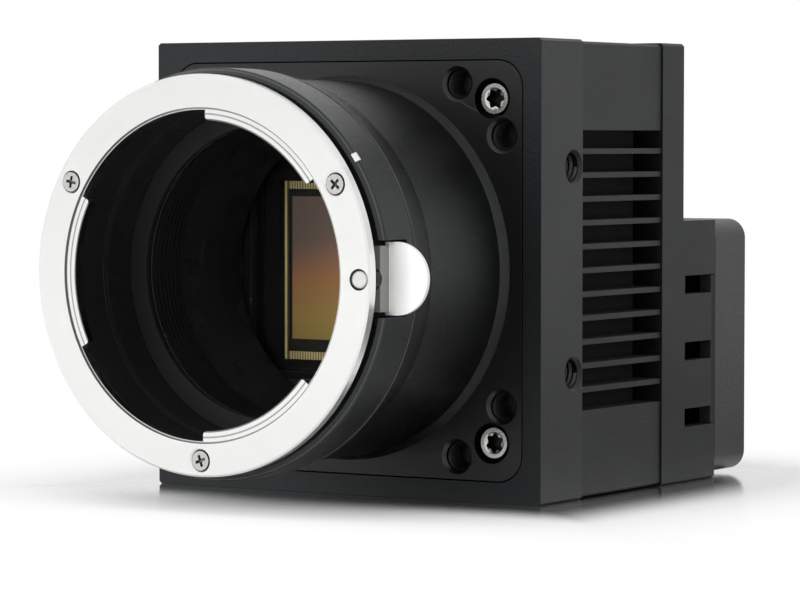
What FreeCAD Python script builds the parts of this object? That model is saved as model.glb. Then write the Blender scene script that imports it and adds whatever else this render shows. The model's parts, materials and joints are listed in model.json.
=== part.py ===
"""Machine vision camera with a bayonet lens mount, a finned case and a cooling fan.

The origin is the centre of the lens flange's front face. The optical axis runs along +Y into the case,
+X is to the right seen from the lens side, and +Z is up. All sizes are in millimetres.
"""
import FreeCAD, Part

import math
import os
import re

import Sketcher

SIZES = [
    # The case
    ("body_width", 68.0, "side of the square case"),
    ("flange_to_front", 37.65, "lens flange to the front of the case"),
    ("board_cover", 0.15, "sensor board in front of the frame's rear face"),
    ("frame_depth", "sensor_place + die_thickness + package_thickness / 2 + lid_gap + board_thickness"
     " + board_cover - flange_to_front", "front frame, front to back"),
    ("housing_depth", 25.1, "finned middle housing, front to back"),
    ("cover_depth", 6.95, "rear cover's flange, front to back"),
    ("duct_depth", 10.7, "fan duct behind the rear cover's flange"),
    ("housing_inset", 0.25, "how far the middle housing stays inside the case"),
    ("case_wall", 5.0, "wall from the case's side to the space inside"),
    ("edge_break", 0.4, "chamfer on the case's edges"),
    ("fit_gap", 0.1, "gap between nested pieces, each side"),
    ("thread_gap", 0.05, "radial gap of a screw in its hole"),
    ("running_gap", 0.04, "radial gap of a running fit"),
    # The bayonet ring
    ("ring_band", 4.75, "width of the bayonet ring outside its recess"),
    ("ring_radius", "recess_radius + ring_band", "outside of the bayonet ring"),
    ("ring_thickness", 1.6, "thickness of the bayonet ring"),
    ("ring_edge", 0.25, "chamfer on the ring's outer edge"),
    ("recess_radius", 23.75, "recess that centres the lens"),
    ("lug_height", 1.75, "how far the lugs stand in from the recess"),
    ("lug_radius", "recess_radius - lug_height", "inside of the three lugs"),
    ("lug_setback", 0.3, "depth of the recess, and lug faces behind the flange face"),
    ("claw_step", 0.3, "ring's wall between the lugs inside the recess"),
    ("lug_round", 0.6, "corner radius of the lugs"),
    ("ring_screw_step", 2.45, "ring's screws outside the recess"),
    ("ring_screw_circle", "recess_radius + ring_screw_step", "pitch radius of the ring's screws"),
    ("ring_screw_radius", 0.8, "thread of the ring's screws"),
    ("ring_head_radius", 1.7, "head of the ring's screws"),
    ("ring_head_height", 0.9, "countersunk height of the ring's screws"),
    ("ring_screw_length", 6.0, "length of the ring's screws"),
    ("spring_sheet", 0.3, "thickness of the bayonet spring"),
    ("spring_step", 0.25, "bayonet spring outside the recess"),
    ("spring_inner", "recess_radius + spring_step", "inside of the bayonet spring between its leaves"),
    ("leaf_step", 0.6, "leaves' ends behind the lugs"),
    ("leaf_inner", "lug_radius + leaf_step", "inside of the bayonet spring's leaves"),
    # The lock pin and release lever
    ("pin_step", 2.95, "lock pin outside the recess"),
    ("pin_circle", "recess_radius + pin_step", "lock pin's distance from the optical axis"),
    ("pin_radius", 1.25, "lock pin"),
    ("pin_proud", 0.35, "lock pin's dome in front of the flange"),
    ("pin_window", 0.25, "radial gap of the pin in the bayonet ring"),
    ("shoulder_step", 0.35, "pin's shoulder beyond the pin"),
    ("pin_shoulder", "pin_radius + shoulder_step", "radius of the pin's shoulder"),
    ("pin_tail", 9.0, "lock pin behind the lever's foot"),
    ("pin_tail_radius", 0.55, "lock pin behind the lever's foot"),
    ("lever_sheet", 0.7, "thickness of the release lever"),
    ("foot_step", 0.5, "lever's foot behind the collar's front"),
    ("lever_foot", "collar_front + foot_step", "front of the lever's foot behind the flange"),
    ("lever_rise", 2.35, "lever's tab behind its foot"),
    ("lever_tab", "lever_foot + lever_rise", "front of the lever's tab behind the flange"),
    ("leg_inset", 0.5, "lever's leg inside the ring's edge"),
    ("lever_leg", "ring_radius - leg_inset", "outside of the lever's leg from the optical axis"),
    ("lever_straight", 1.1, "straight part of the lever's tab"),
    ("lever_reach", "lever_leg + lever_straight + lever_half_width", "tip of the lever from the optical axis"),
    ("lever_half_width", 5.1, "half the width of the lever's tab"),
    ("leg_shoulder", 0.5, "tab wider than the leg, each side"),
    ("lever_leg_half", "lever_half_width - leg_shoulder", "half the width of the lever's leg and foot"),
    ("lever_travel", 2.0, "how far the lever slides back"),
    ("coil_wire", 0.15, "wire radius of the lever's spring"),
    ("coil_turns", 5.0, "turns of the lever's spring"),
    # The mount tube
    ("collar_step", 0.9, "collar outside the ring"),
    ("collar_radius", "ring_radius + collar_step", "collar at the tube's front"),
    ("collar_gap", 1.1, "gap between ring and collar"),
    ("collar_front", "ring_thickness + spring_sheet + collar_gap", "front of the collar behind the flange"),
    ("collar_chamfer", 0.8, "chamfer on the collar's front edge"),
    ("collar_rear", 14.0, "rear of the collar behind the flange"),
    ("collar_taper", 3.0, "length of the taper from collar to tube"),
    ("groove_place", 10.3, "front of the groove round the collar"),
    ("groove_width", 0.8, "width of the groove round the collar"),
    ("groove_depth", 0.4, "depth of the groove round the collar"),
    ("neck_step", 0.9, "neck inside the ring"),
    ("neck_radius", "ring_radius - neck_step", "neck between ring and collar"),
    ("tube_step", 0.5, "tube inside the ring"),
    ("tube_radius", "ring_radius - tube_step", "outside of the tube"),
    ("flare_step", 0.8, "flared foot outside the tube"),
    ("foot_radius", "tube_radius + flare_step", "flared foot of the tube"),
    ("foot_flare", 1.6, "length of the foot's flare"),
    ("spigot_step", 0.4, "spigot inside the front bore"),
    ("spigot_radius", "bore_radius - spigot_step", "spigot that centres the tube in the face plate"),
    ("spigot_length", 4.1, "length of the spigot"),
    ("bore_step", 0.65, "front bore outside the recess"),
    ("bore_radius", "recess_radius + bore_step", "front bore of the tube"),
    ("trap_step", 2.8, "rear bore inside the front bore"),
    ("trap_radius", "bore_radius - trap_step", "rear bore of the tube"),
    ("baffle_place", 17.0, "front of the baffle behind the flange"),
    ("baffle_thickness", 1.5, "thickness of the baffle"),
    ("baffle_lip", 0.15, "how far the baffle stands inside the rear bore"),
    ("slot_wall", 0.6, "wall between the bore and the lever's slot"),
    ("slot_floor", "bore_radius + slot_wall", "bottom of the lever's slot from the optical axis"),
    ("slot_gap", 0.25, "side gap of the lever in its slot"),
    ("tube_screw_step", 2.1, "tube's screws inside the tube's outside"),
    ("tube_screw_circle", "tube_radius - tube_screw_step", "pitch radius of the tube's screws"),
    ("tube_screw_radius", 1.0, "thread of the tube's screws"),
    ("tube_head_radius", 1.5, "head of the tube's screws"),
    ("tube_head_height", 1.4, "head height of the tube's screws"),
    ("tube_screw_grip", 5.0, "thread of the tube's screws inside the tube"),
    # The face plate
    ("plate_border", 3.25, "frame outside the face plate"),
    ("plate_side", "body_width - 2 * plate_border", "side of the face plate"),
    ("plate_gap", 0.2, "gap round the face plate"),
    ("plate_corner", 4.0, "corner radius of the face plate"),
    ("plate_thickness", 4.4, "thickness of the face plate"),
    ("plate_screw_side", 5.05, "plate's screws from its sides"),
    ("plate_screw_x", "plate_side / 2 - plate_screw_side", "face plate screws from the optical axis, across"),
    ("plate_screw_top", 5.55, "plate's screws from its top and bottom"),
    ("plate_screw_z", "plate_side / 2 - plate_screw_top", "face plate screws from the optical axis, up"),
    ("plate_screw_radius", 1.5, "thread of the face plate's screws"),
    ("plate_head_radius", 2.5, "head of the face plate's screws"),
    ("plate_head_height", 2.5, "head height of the face plate's screws"),
    ("plate_sink_radius", 3.0, "counterbore for the face plate's screws"),
    ("plate_sink_depth", 3.2, "depth of the counterbores"),
    ("plate_screw_grip", 5.0, "thread of the face plate's screws in the frame"),
    ("hole_inset", 10.95, "plate's threaded holes from the farther edge"),
    ("mount_hole_near", "plate_side / 2 - hole_inset", "face plate's threaded holes, the short way"),
    ("hole_border", 3.35, "plate's threaded holes from the nearer edge"),
    ("mount_hole_far", "plate_side / 2 - hole_border", "face plate's threaded holes, the long way"),
    ("mount_hole_radius", 2.1, "core of the threaded mounting holes"),
    ("mount_hole_mouth", 2.6, "mouth of the threaded mounting holes"),
    ("plate_hole_depth", 3.9, "depth of the face plate's threaded holes"),
    # The front frame
    ("side_hole_spacing", 30.4, "spacing of the holes in each side of the frame"),
    ("side_hole_margin", 2.7, "side holes from the frame's rear face"),
    ("side_hole_depth", 5.5, "depth of the side holes"),
    ("block_gap", 0.2, "gap between the filter retainer and the corner blocks"),
    ("frame_block_x", "retainer_width / 2 + block_gap", "corner blocks inside the frame, across"),
    ("block_height", 10.0, "corner blocks inside the frame, up"),
    ("frame_block_z", "frame_inner - block_height", "corner blocks inside the frame, up"),
    ("frame_wall", 6.0, "wall of the front frame"),
    ("frame_inner", "body_width / 2 - frame_wall", "half the opening inside the frame"),
    ("case_screw_inset", 5.4, "case's screws from its sides"),
    ("frame_screw_place", "body_width / 2 - case_screw_inset", "frame and cover screws from the axis, each way"),
    ("case_screw_radius", 1.25, "thread of the case's screws"),
    ("case_head_radius", 2.25, "head of the case's screws"),
    ("case_head_height", 2.4, "head height of the cover's screws"),
    ("frame_head_height", 1.2, "countersunk height of the frame's screws"),
    ("case_screw_grip", 8.0, "thread of the case's screws in the middle housing"),
    # The filter and the sensor
    ("glass_width", 43.0, "filter glass, across"),
    ("glass_height", 34.4, "filter glass, up"),
    ("glass_thickness", 1.0, "thickness of the filter glass"),
    ("gasket_thickness", 0.3, "thickness of the filter's gasket"),
    ("retainer_side", 1.3, "retainer beyond the glass, across"),
    ("retainer_width", "glass_width + 2 * retainer_side", "filter retainer, across"),
    ("retainer_end", 2.3, "retainer beyond the glass, up"),
    ("retainer_height", "glass_height + 2 * retainer_end", "filter retainer, up"),
    ("retainer_depth", 2.85, "filter retainer, front to back"),
    ("glass_seat", 1.0, "ledge that the filter glass rests on"),
    ("window_width", "glass_width - 2 * glass_seat", "opening behind the filter glass, across"),
    ("window_height", "glass_height - 2 * glass_seat", "opening behind the filter glass, up"),
    ("retainer_screw_inset", 2.0, "retainer's screws from its sides"),
    ("retainer_screw_x", "retainer_width / 2 - retainer_screw_inset", "retainer's screws, across"),
    ("retainer_screw_step", 1.2, "retainer's screws beyond the glass"),
    ("retainer_screw_z", "glass_height / 2 + retainer_screw_step", "retainer's screws, up"),
    ("small_screw_radius", 0.8, "thread of the retainer's and sensor board's screws"),
    ("small_head_radius", 1.4, "head of the retainer's and sensor board's screws"),
    ("small_head_height", 0.9, "head height of the same screws"),
    ("small_screw_grip", 3.0, "thread of the same screws in what they hold to"),
    ("sensor_place", 46.5, "front of the image sensor behind the flange"),
    ("sensor_drop", 0.85, "middle of the image sensor below the optical axis"),
    ("package_side", 4.25, "package beyond the sensor, across"),
    ("package_width", "die_width + 2 * package_side", "sensor package, across"),
    ("package_end", 2.85, "package beyond the sensor, up"),
    ("package_height", "die_height + 2 * package_end", "sensor package, up"),
    ("lid_gap", 0.05, "sensor's rear in front of the package's middle"),
    ("package_thickness", 2.5, "sensor package, front to back"),
    ("package_wall", 2.9, "wall round the package's cavity"),
    ("lid_thickness", 0.7, "thickness of the sensor's lid"),
    ("lid_margin", 0.4, "lid inside the package's edge"),
    ("die_width", 30.9, "image sensor, across"),
    ("die_height", 24.8, "image sensor, up"),
    ("die_thickness", 0.4, "thickness of the image sensor"),
    ("bond_side", 0.8, "bond frame beyond the sensor, across"),
    ("bond_width", "die_width + 2 * bond_side", "bond frame, across"),
    ("bond_end", 1.3, "bond frame beyond the sensor, up"),
    ("bond_height", "die_height + 2 * bond_end", "bond frame, up"),
    ("bond_thickness", 0.45, "thickness of the bond frame"),
    ("board_thickness", 1.6, "thickness of each circuit board"),
    ("board_corner", 3.2, "chamfer on the sensor board's corners"),
    ("board_screw_inset", 2.5, "sensor board's screws from the frame's inside"),
    ("board_screw_x", "frame_inner - board_screw_inset", "sensor board's screws, across"),
    ("board_screw_drop", 8.2, "sensor board's screws from the frame's top and bottom"),
    ("board_screw_z", "frame_inner - board_screw_drop", "sensor board's screws, up"),
    ("pad_margin", 0.9, "thermal pad narrower than the sensor"),
    ("pad_width", "die_width - pad_margin", "thermal pad, across"),
    ("pad_extra", 1.5, "thermal pad taller than the sensor"),
    ("pad_height", "die_height + pad_extra", "thermal pad, up"),
    # The middle housing and its boards
    ("post_side", 11.5, "housing's corner posts from its sides"),
    ("post_place", "body_width / 2 - post_side", "inside of the housing's corner posts"),
    ("web_place", 1.35, "web behind the housing's front"),
    ("web_thickness", 2.5, "web that takes the sensor's heat"),
    ("link_room", 1.0, "room round the sensor's connector, across"),
    ("web_slot_width", "link_width + 2 * link_room", "slot in the web for the sensor's connector"),
    ("link_gap", 0.75, "room round the sensor's connector, up"),
    ("web_slot_height", "link_height + 2 * link_gap", "height of that slot"),
    ("link_inset", 7.0, "connectors from the frame's inside"),
    ("link_place", "frame_inner - link_inset", "connectors below the optical axis"),
    ("link_width", 22.0, "board connectors, across"),
    ("link_height", 4.0, "board connectors, up"),
    ("fin_pitch", 3.53, "pitch of the cooling grooves"),
    ("fin_slot", 2.68, "height of each cooling groove"),
    ("fin_count", 12.0, "cooling grooves on each side"),
    ("fin_centre", -0.15, "middle of the grooves above the optical axis"),
    ("fin_depth", 3.4, "depth of the cooling grooves"),
    ("fin_outlet", 2.7, "length of the openings at the grooves' rear ends"),
    ("spacer_height", 6.0, "web to processing board"),
    ("rear_spacer_height", 8.0, "processing board to interface board"),
    ("spacer_across", 4.4, "spacers across flats"),
    ("spacer_inset", 2.9, "spacers from the housing's inner wall"),
    ("spacer_x", "body_width / 2 - case_wall - spacer_inset", "spacers from the optical axis, across"),
    ("spacer_drop", 5.5, "spacers from the corner posts"),
    ("spacer_z", "post_place - spacer_drop", "spacers from the optical axis, up"),
    ("stud_radius", 1.0, "threaded studs of the spacers"),
    ("stud_length", 2.2, "stud of the front spacers in the web"),
    ("board_head_radius", 1.9, "head of the boards' screws"),
    ("board_head_height", 1.3, "head height of the boards' screws"),
    ("chip_side", 23.0, "side of the processor"),
    ("chip_thickness", 2.2, "thickness of the processor"),
    ("memory_width", 8.0, "memory chips, across"),
    ("memory_height", 11.0, "memory chips, up"),
    ("memory_thickness", 1.1, "thickness of the memory chips"),
    ("memory_place", 18.0, "memory chips from the optical axis, across"),
    # The rear cover and its connectors
    ("cover_floor", 2.5, "floor of the rear cover"),
    ("duct_edge", 0.4, "duct beyond the fan's side"),
    ("duct_left", "duct_edge + fan_side / 2 - fan_x", "duct's left side from the optical axis"),
    ("duct_lip", 0.05, "duct beyond the fan's top"),
    ("duct_top", "fan_z + fan_side / 2 + duct_lip", "duct's top above the optical axis"),
    ("vent_height", 2.85, "height of each vent"),
    ("vent_pitch", 10.35, "pitch of the vents"),
    ("vent_count", 3.0, "vents in the duct's side"),
    ("vent_rise", 10.1, "top vent above the fan's axis"),
    ("vent_top", "fan_z + vent_rise", "middle of the top vent above the optical axis"),
    ("vent_front", 0.6, "vents behind the cover's flange"),
    ("vent_length", 8.9, "length of each vent"),
    ("duct_rim", 1.0, "rim of the duct round the gasket"),
    ("gasket_depth", 1.2, "thickness of the fan's gasket"),
    ("coax_first", "-coax_pitch * (coax_count - 1) / 2", "first coaxial jack, across"),
    ("coax_pitch", 13.0, "pitch of the coaxial jacks"),
    ("coax_count", 4.0, "coaxial jacks"),
    ("coax_drop", 16.1, "coaxial jacks from the case's top"),
    ("coax_height", "body_width / 2 - coax_drop", "coaxial jacks above the optical axis"),
    ("coax_radius", 4.2, "barrel of a coaxial jack"),
    ("coax_wall", 0.9, "wall of a jack's barrel"),
    ("coax_bore", "coax_radius - coax_wall", "bore of a coaxial jack"),
    ("coax_length", 9.5, "coaxial jack behind the cover"),
    ("coax_base", "2 * coax_radius", "side of the jack's base on the board"),
    ("nut_wall", 1.3, "nut's flats beyond its hole"),
    ("coax_nut", "2 * coax_radius + 2 * nut_wall", "jack's nut across flats"),
    ("nut_thickness", 1.8, "thickness of the connectors' nuts"),
    ("insert_radius", 1.6, "insulator round the jack's contact"),
    ("contact_radius", 0.45, "jack's contact"),
    ("power_inset", 13.5, "power connector from the case's side"),
    ("power_x", "-(body_width / 2 - power_inset)", "power connector, across"),
    ("power_z", -8.0, "power connector above the optical axis"),
    ("power_radius", 5.6, "barrel of the power connector"),
    ("power_wall", 1.0, "wall of the power connector's barrel"),
    ("power_bore", "power_radius - power_wall", "bore of the power connector"),
    ("power_length", 7.5, "power connector behind the cover"),
    ("power_nut", "2 * power_radius + 2 * nut_wall + 0.2", "power connector's nut across flats"),
    ("socket_depth", 5.5, "depth of the power connector's socket"),
    ("pin_count", 8.0, "pins on the power connector's outer ring"),
    ("pin_inset", 1.7, "power pins from their connector's wall"),
    ("pin_ring", "power_bore - pin_inset", "radius of that ring"),
    ("contact_pin", 0.35, "radius of a power pin"),
    ("pin_length", 1.2, "pins in front of their insulator"),
    ("led_x", "power_x", "status light, across"),
    ("led_rise", 10.0, "status light from the case's bottom"),
    ("led_z", "-(body_width / 2 - led_rise)", "status light above the optical axis"),
    ("led_radius", 1.5, "status light"),
    ("led_proud", 0.6, "dome of the status light"),
    # The fan
    ("fan_side", 40.0, "side of the fan"),
    ("fan_thickness", 10.6, "thickness of the fan"),
    ("fan_x", "body_width / 2 - fan_side / 2", "fan's axis, across"),
    ("fan_lift", 0.6, "fan above the case's bottom"),
    ("fan_z", "-(body_width / 2 - fan_side / 2 - fan_lift)", "fan's axis above the optical axis"),
    ("fan_corner", 3.0, "corner radius of the fan"),
    ("fan_wall", 1.0, "fan's thinnest wall"),
    ("fan_bore", "fan_side / 2 - fan_wall", "fan's bore"),
    ("duct_step", 1.1, "duct's bore inside the fan's"),
    ("duct_bore", "fan_bore - duct_step", "bore of the duct"),
    ("fan_hole_inset", 4.0, "fan's screws from its sides"),
    ("fan_hole_spacing", "fan_side - 2 * fan_hole_inset", "spacing of the fan's screws"),
    ("fan_hole_radius", 1.75, "fan's screw holes"),
    ("fan_screw_radius", 1.4, "fan's screws"),
    ("fan_head_radius", 2.7, "head of the fan's screws"),
    ("fan_head_height", 1.6, "head height of the fan's screws"),
    ("fan_screw_grip", 8.0, "thread of the fan's screws in the cover"),
    ("hub_radius", 9.2, "rotor's hub"),
    ("hub_wall", 1.0, "wall of the rotor's hub"),
    ("hub_front", 0.8, "hub behind the fan's front face"),
    ("hub_rear", 2.2, "hub in front of the fan's rear face"),
    ("magnet_wall", 1.0, "wall of the rotor's magnet"),
    ("base_thickness", 1.7, "motor base and struts"),
    ("base_step", 0.6, "motor base beyond the hub"),
    ("base_radius", "hub_radius + base_step", "motor base"),
    ("strut_width", 2.2, "width of each strut"),
    ("strut_count", 4.0, "struts that carry the motor"),
    ("bearing_radius", 2.4, "outside of the bearing"),
    ("bearing_wall", 1.1, "wall of the bearing's tube"),
    ("shaft_radius", 1.0, "rotor's shaft"),
    ("stator_step", 2.8, "poles inside the hub"),
    ("stator_radius", "hub_radius - stator_step", "stator's poles"),
    ("pole_width", 2.6, "width of each pole"),
    ("blade_count", 7.0, "blades of the rotor"),
    ("blade_gap", 1.2, "blades' tips inside the bore, at mid chord"),
    ("blade_tip", "fan_bore - blade_gap", "blades' tips, at mid chord"),
    ("blade_chord", 8.6, "chord of each blade"),
    ("blade_sheet", 0.9, "thickness of each blade"),
    ("root_pitch", 46.0, "blade angle at the hub, in degrees"),
    ("tip_pitch", 28.0, "blade angle at the tip, in degrees"),
]

# Places along the optical axis, as formulas of the sizes above.
FRAME_REAR = "(flange_to_front + frame_depth)"
HOUSING_REAR = f"({FRAME_REAR} + housing_depth)"
COVER_REAR = f"({HOUSING_REAR} + cover_depth)"
DUCT_REAR = f"({COVER_REAR} + duct_depth)"
FAN_REAR = f"({DUCT_REAR} + fan_thickness)"
TUBE_FRONT = "(ring_thickness + spring_sheet)"
PLATE_REAR = "(flange_to_front + plate_thickness)"
GASKET_FRONT = f"({PLATE_REAR} + glass_thickness)"
RETAINER_REAR = f"({PLATE_REAR} + retainer_depth)"
DIE_REAR = "(sensor_place + die_thickness)"
PACKAGE_FRONT = f"({DIE_REAR} - package_thickness / 2 + lid_gap)"
PACKAGE_REAR = f"({PACKAGE_FRONT} + package_thickness)"
SENSOR_BOARD_REAR = f"({PACKAGE_REAR} + board_thickness)"
WEB_FRONT = f"({FRAME_REAR} + web_place)"
WEB_REAR = f"({WEB_FRONT} + web_thickness)"
PROCESSING_FRONT = f"({WEB_REAR} + spacer_height)"
PROCESSING_REAR = f"({PROCESSING_FRONT} + board_thickness)"
INTERFACE_FRONT = f"({PROCESSING_REAR} + rear_spacer_height)"
INTERFACE_REAR = f"({INTERFACE_FRONT} + board_thickness)"
COVER_INSIDE = f"({COVER_REAR} - cover_floor)"
GASKET_PLACE = f"({DUCT_REAR} - gasket_depth)"
SLOT_REAR = "(lever_tab + lever_sheet + lever_travel + 0.4)"
FOOT_REAR = "(lever_foot + lever_sheet)"
BASE_FRONT = f"({FAN_REAR} - base_thickness)"
HUB_FRONT = f"({DUCT_REAR} + hub_front)"
HUB_REAR = f"({FAN_REAR} - hub_rear)"
HOUSE_INNER = "(body_width / 2 - case_wall)"
HALF_BODY = "(body_width / 2)"
HALF_HOUSING = "(body_width / 2 - housing_inset)"
HALF_PLATE = "(plate_side / 2)"

# The lugs as seen from the front, in degrees from +X towards +Z, and the ring's three screws.
LUGS = ((36, 88), (152, 207), (271, 321))
RING_SCREWS = (30, 150, 270)

doc = FreeCAD.newDocument("machine_vision_camera")
sheet = doc.addObject("Spreadsheet::Sheet", "Sizes")
for row, (alias, _, note) in enumerate(SIZES, start=1):
    sheet.set(f"A{row}", alias)
    sheet.set(f"C{row}", note)
    sheet.setAlias(f"B{row}", alias)
for row, (_, size, _) in enumerate(SIZES, start=1):
    sheet.set(f"B{row}", f"={size}")
doc.recompute()
NAMES = {alias for alias, _, _ in SIZES}
nodes = []


def bound(formula):
    """The formula with each size's name pointed at its cell."""
    return re.sub(r"[a-z_]+", lambda m: f"Sizes.{m[0]}" if m[0] in NAMES else m[0], str(formula))


def value(formula):
    """What a formula of sizes comes to."""
    return float(sheet.evalExpression(bound(formula)))


def vector(x, y, z):
    return FreeCAD.Vector(value(x), value(y), value(z))


def new_body(label):
    """An empty body that becomes one sub-part."""
    body = doc.addObject("PartDesign::Body", label)
    body.Label = label
    nodes.append(body)
    return body


def new_sketch(body, depth="0", role="XZ_Plane"):
    """A sketch on one of the body's origin planes.

    On the XZ plane the sketch's axes are X and Z and depth is its Y. On the YZ plane they are Y and Z and
    depth is its X. On the XY plane they are X and Y.
    """
    sketch = body.newObject("Sketcher::SketchObject", f"{body.Label}_sketch")
    origin_plane = next(f for f in body.Origin.OriginFeatures if f.Role == role)
    sketch.AttachmentSupport = [(origin_plane, "")]
    sketch.MapMode = "FlatFace"
    sign = "-" if role == "XZ_Plane" else ""
    sketch.setExpression("AttachmentOffset.Base.z", bound(f"{sign}({depth})"))
    return sketch


def constrain(sketch, kind, *arguments):
    """A sketch constraint whose last argument is a formula of sizes."""
    *places, formula = arguments
    index = sketch.addConstraint(Sketcher.Constraint(kind, *places, value(formula)))
    sketch.setExpression(f"Constraints[{index}]", bound(formula))


def fix_point(sketch, geometry, point, across, up):
    constrain(sketch, "DistanceX", -1, 1, geometry, point, across)
    constrain(sketch, "DistanceY", -1, 1, geometry, point, up)


def polygon(sketch, points):
    """A closed outline through points given as formulas."""
    corners = [vector(across, up, "0") for across, up in points]
    first = sketch.GeometryCount
    for start, end in zip(corners, corners[1:] + corners[:1]):
        sketch.addGeometry(Part.LineSegment(start, end), False)
    for number, (across, up) in enumerate(points):
        before = first + (number - 1) % len(points)
        sketch.addConstraint(Sketcher.Constraint("Coincident", before, 2, first + number, 1))
        fix_point(sketch, first + number, 1, across, up)


def rectangle(sketch, width, height, across="0", up="0"):
    """A rectangle about a centre."""
    left, right = f"{across} - ({width}) / 2", f"{across} + ({width}) / 2"
    low, high = f"{up} - ({height}) / 2", f"{up} + ({height}) / 2"
    polygon(sketch, [(left, low), (right, low), (right, high), (left, high)])


def circle(sketch, radius, across="0", up="0"):
    centre = vector(across, up, "0")
    geometry = sketch.addGeometry(Part.Circle(centre, FreeCAD.Vector(0, 0, 1), value(radius)), False)
    fix_point(sketch, geometry, 3, across, up)
    constrain(sketch, "Radius", geometry, radius)


def hexagon(sketch, across_flats, across="0", up="0"):
    """A hexagon with two level sides."""
    corner = f"({across_flats}) / sqrt(3)"
    points = []
    for number in range(6):
        turn = f"{60 * number} * 1deg"
        points.append((f"{across} + {corner} * cos({turn})", f"{up} + {corner} * sin({turn})"))
    polygon(sketch, points)


def arc_about_origin(sketch, radius, start, end):
    """An arc centred on the sketch's origin, between two angles in degrees."""
    low, high = math.radians(start), math.radians(end)
    full = Part.Circle(FreeCAD.Vector(0, 0, 0), FreeCAD.Vector(0, 0, 1), value(radius))
    geometry = sketch.addGeometry(Part.ArcOfCircle(full, low, high), False)
    sketch.addConstraint(Sketcher.Constraint("Coincident", geometry, 3, -1, 1))
    constrain(sketch, "Radius", geometry, radius)
    for point, degrees in ((1, start), (2, end)):
        steep = abs(math.sin(math.radians(degrees))) > abs(math.cos(math.radians(degrees)))
        kind, trig = ("DistanceX", "cos") if steep else ("DistanceY", "sin")
        constrain(sketch, kind, -1, 1, geometry, point, f"({radius}) * {trig}({degrees} * 1deg)")
    return geometry


def sector(sketch, inner, outer, start, end):
    """A closed piece of a ring between two angles."""
    near = arc_about_origin(sketch, inner, start, end)
    far = arc_about_origin(sketch, outer, start, end)
    for point, degrees in ((1, start), (2, end)):
        turn = math.radians(degrees)
        ends = [FreeCAD.Vector(value(r) * math.cos(turn), value(r) * math.sin(turn), 0) for r in (inner, outer)]
        line = sketch.addGeometry(Part.LineSegment(*ends), False)
        sketch.addConstraint(Sketcher.Constraint("Coincident", line, 1, near, point))
        sketch.addConstraint(Sketcher.Constraint("Coincident", line, 2, far, point))


def pad(body, sketch, length):
    """Adds the sketch's area towards the rear of the camera, or along its plane's normal."""
    feature = body.newObject("PartDesign::Pad", f"{body.Label}_pad")
    feature.Profile = sketch
    feature.Reversed = sketch.AttachmentSupport[0][0].Role == "XZ_Plane"
    feature.setExpression("Length", bound(length))
    return feature


def pocket(body, sketch, length, forward=False):
    """Cuts the sketch's area away towards the rear of the camera, or towards its front."""
    feature = body.newObject("PartDesign::Pocket", f"{body.Label}_pocket")
    feature.Profile = sketch
    feature.Reversed = forward
    feature.setExpression("Length", bound(length))
    return feature


def turn(body, points, groove=False):
    """Turns an outline of radius and Y about the body's Y axis, as metal or as a cut."""
    sketch = new_sketch(body, role="XY_Plane")
    polygon(sketch, points)
    kind = "PartDesign::Groove" if groove else "PartDesign::Revolution"
    feature = body.newObject(kind, f"{body.Label}_turned")
    feature.Profile = sketch
    feature.ReferenceAxis = (sketch, ["V_Axis"])
    feature.Angle = 360.0
    return feature


def repeat(body, features, count, full=360.0):
    """Repeats features round the body's Y axis."""
    pattern = body.newObject("PartDesign::PolarPattern", f"{body.Label}_pattern")
    pattern.Originals = features
    pattern.Axis = (next(f for f in body.Origin.OriginFeatures if f.Role == "Y_Axis"), [""])
    pattern.Angle = full
    pattern.setExpression("Occurrences", bound(count))
    body.Tip = pattern
    return pattern


def along_y(edge):
    return isinstance(edge.Curve, Part.Line) and abs(edge.Curve.Direction.y) > 0.9999


def rim(radius, place):
    """A test for a full circle of a radius at a place along Y."""
    size, depth = value(radius), value(place)
    return lambda edge: (edge.Closed and isinstance(edge.Curve, Part.Circle)
                         and abs(edge.Curve.Radius - size) < 1e-3 and abs(edge.Curve.Center.y - depth) < 1e-3)


def dress(body, kind, size, test):
    """Rounds or chamfers the edges of the body's last feature that pass a test."""
    doc.recompute()
    base = body.Tip
    chosen = [f"Edge{number}" for number, edge in enumerate(base.Shape.Edges, start=1) if test(edge)]
    feature = body.newObject(f"PartDesign::{kind}", f"{body.Label}_{kind.lower()}")
    feature.Base = (base, chosen)
    feature.setExpression("Radius" if kind == "Fillet" else "Size", bound(size))
    return feature


def group(label, shape, places):
    """One sub-part made of the same piece at several places, given as formulas."""
    feature = doc.addObject("Part::Feature", label)
    feature.Label = label
    copies = []
    for across, along, up in places:
        copy = shape.copy()
        copy.translate(vector(across, along, up))
        copies.append(copy)
    feature.Shape = Part.makeCompound(copies)
    nodes.append(feature)
    return feature


def screw(label, head_radius, head_height, thread_radius, length, countersunk=False):
    """The shape of a screw that goes in along +Y, with the underside of its head at Y = 0."""
    body = doc.addObject("PartDesign::Body", f"{label}_master")
    body.Label = f"{label}_master"
    under_head = thread_radius if countersunk else head_radius
    outline = [("0", f"-({head_height})"), (head_radius, f"-({head_height})"), (under_head, "0")]
    if not countersunk:
        outline.append((thread_radius, "0"))
    turn(body, outline + [(thread_radius, length), ("0", length)])
    sketch = new_sketch(body, f"-({head_height})")
    hexagon(sketch, f"({head_radius}) * 0.95")
    pocket(body, sketch, f"({head_height}) * 0.55")
    doc.recompute()
    return body.Shape


def turned_round(shape):
    """The same piece facing the other way along Y."""
    copy = shape.copy()
    copy.rotate(FreeCAD.Vector(0, 0, 0), FreeCAD.Vector(0, 0, 1), 180)
    return copy


def four_corners(across, up, along):
    """The same place in all four quadrants."""
    return [(f"{sx}({across})", along, f"{sz}({up})") for sx in ("", "-") for sz in ("", "-")]


# ---------------------------------------------------------------- lens mount

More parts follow.
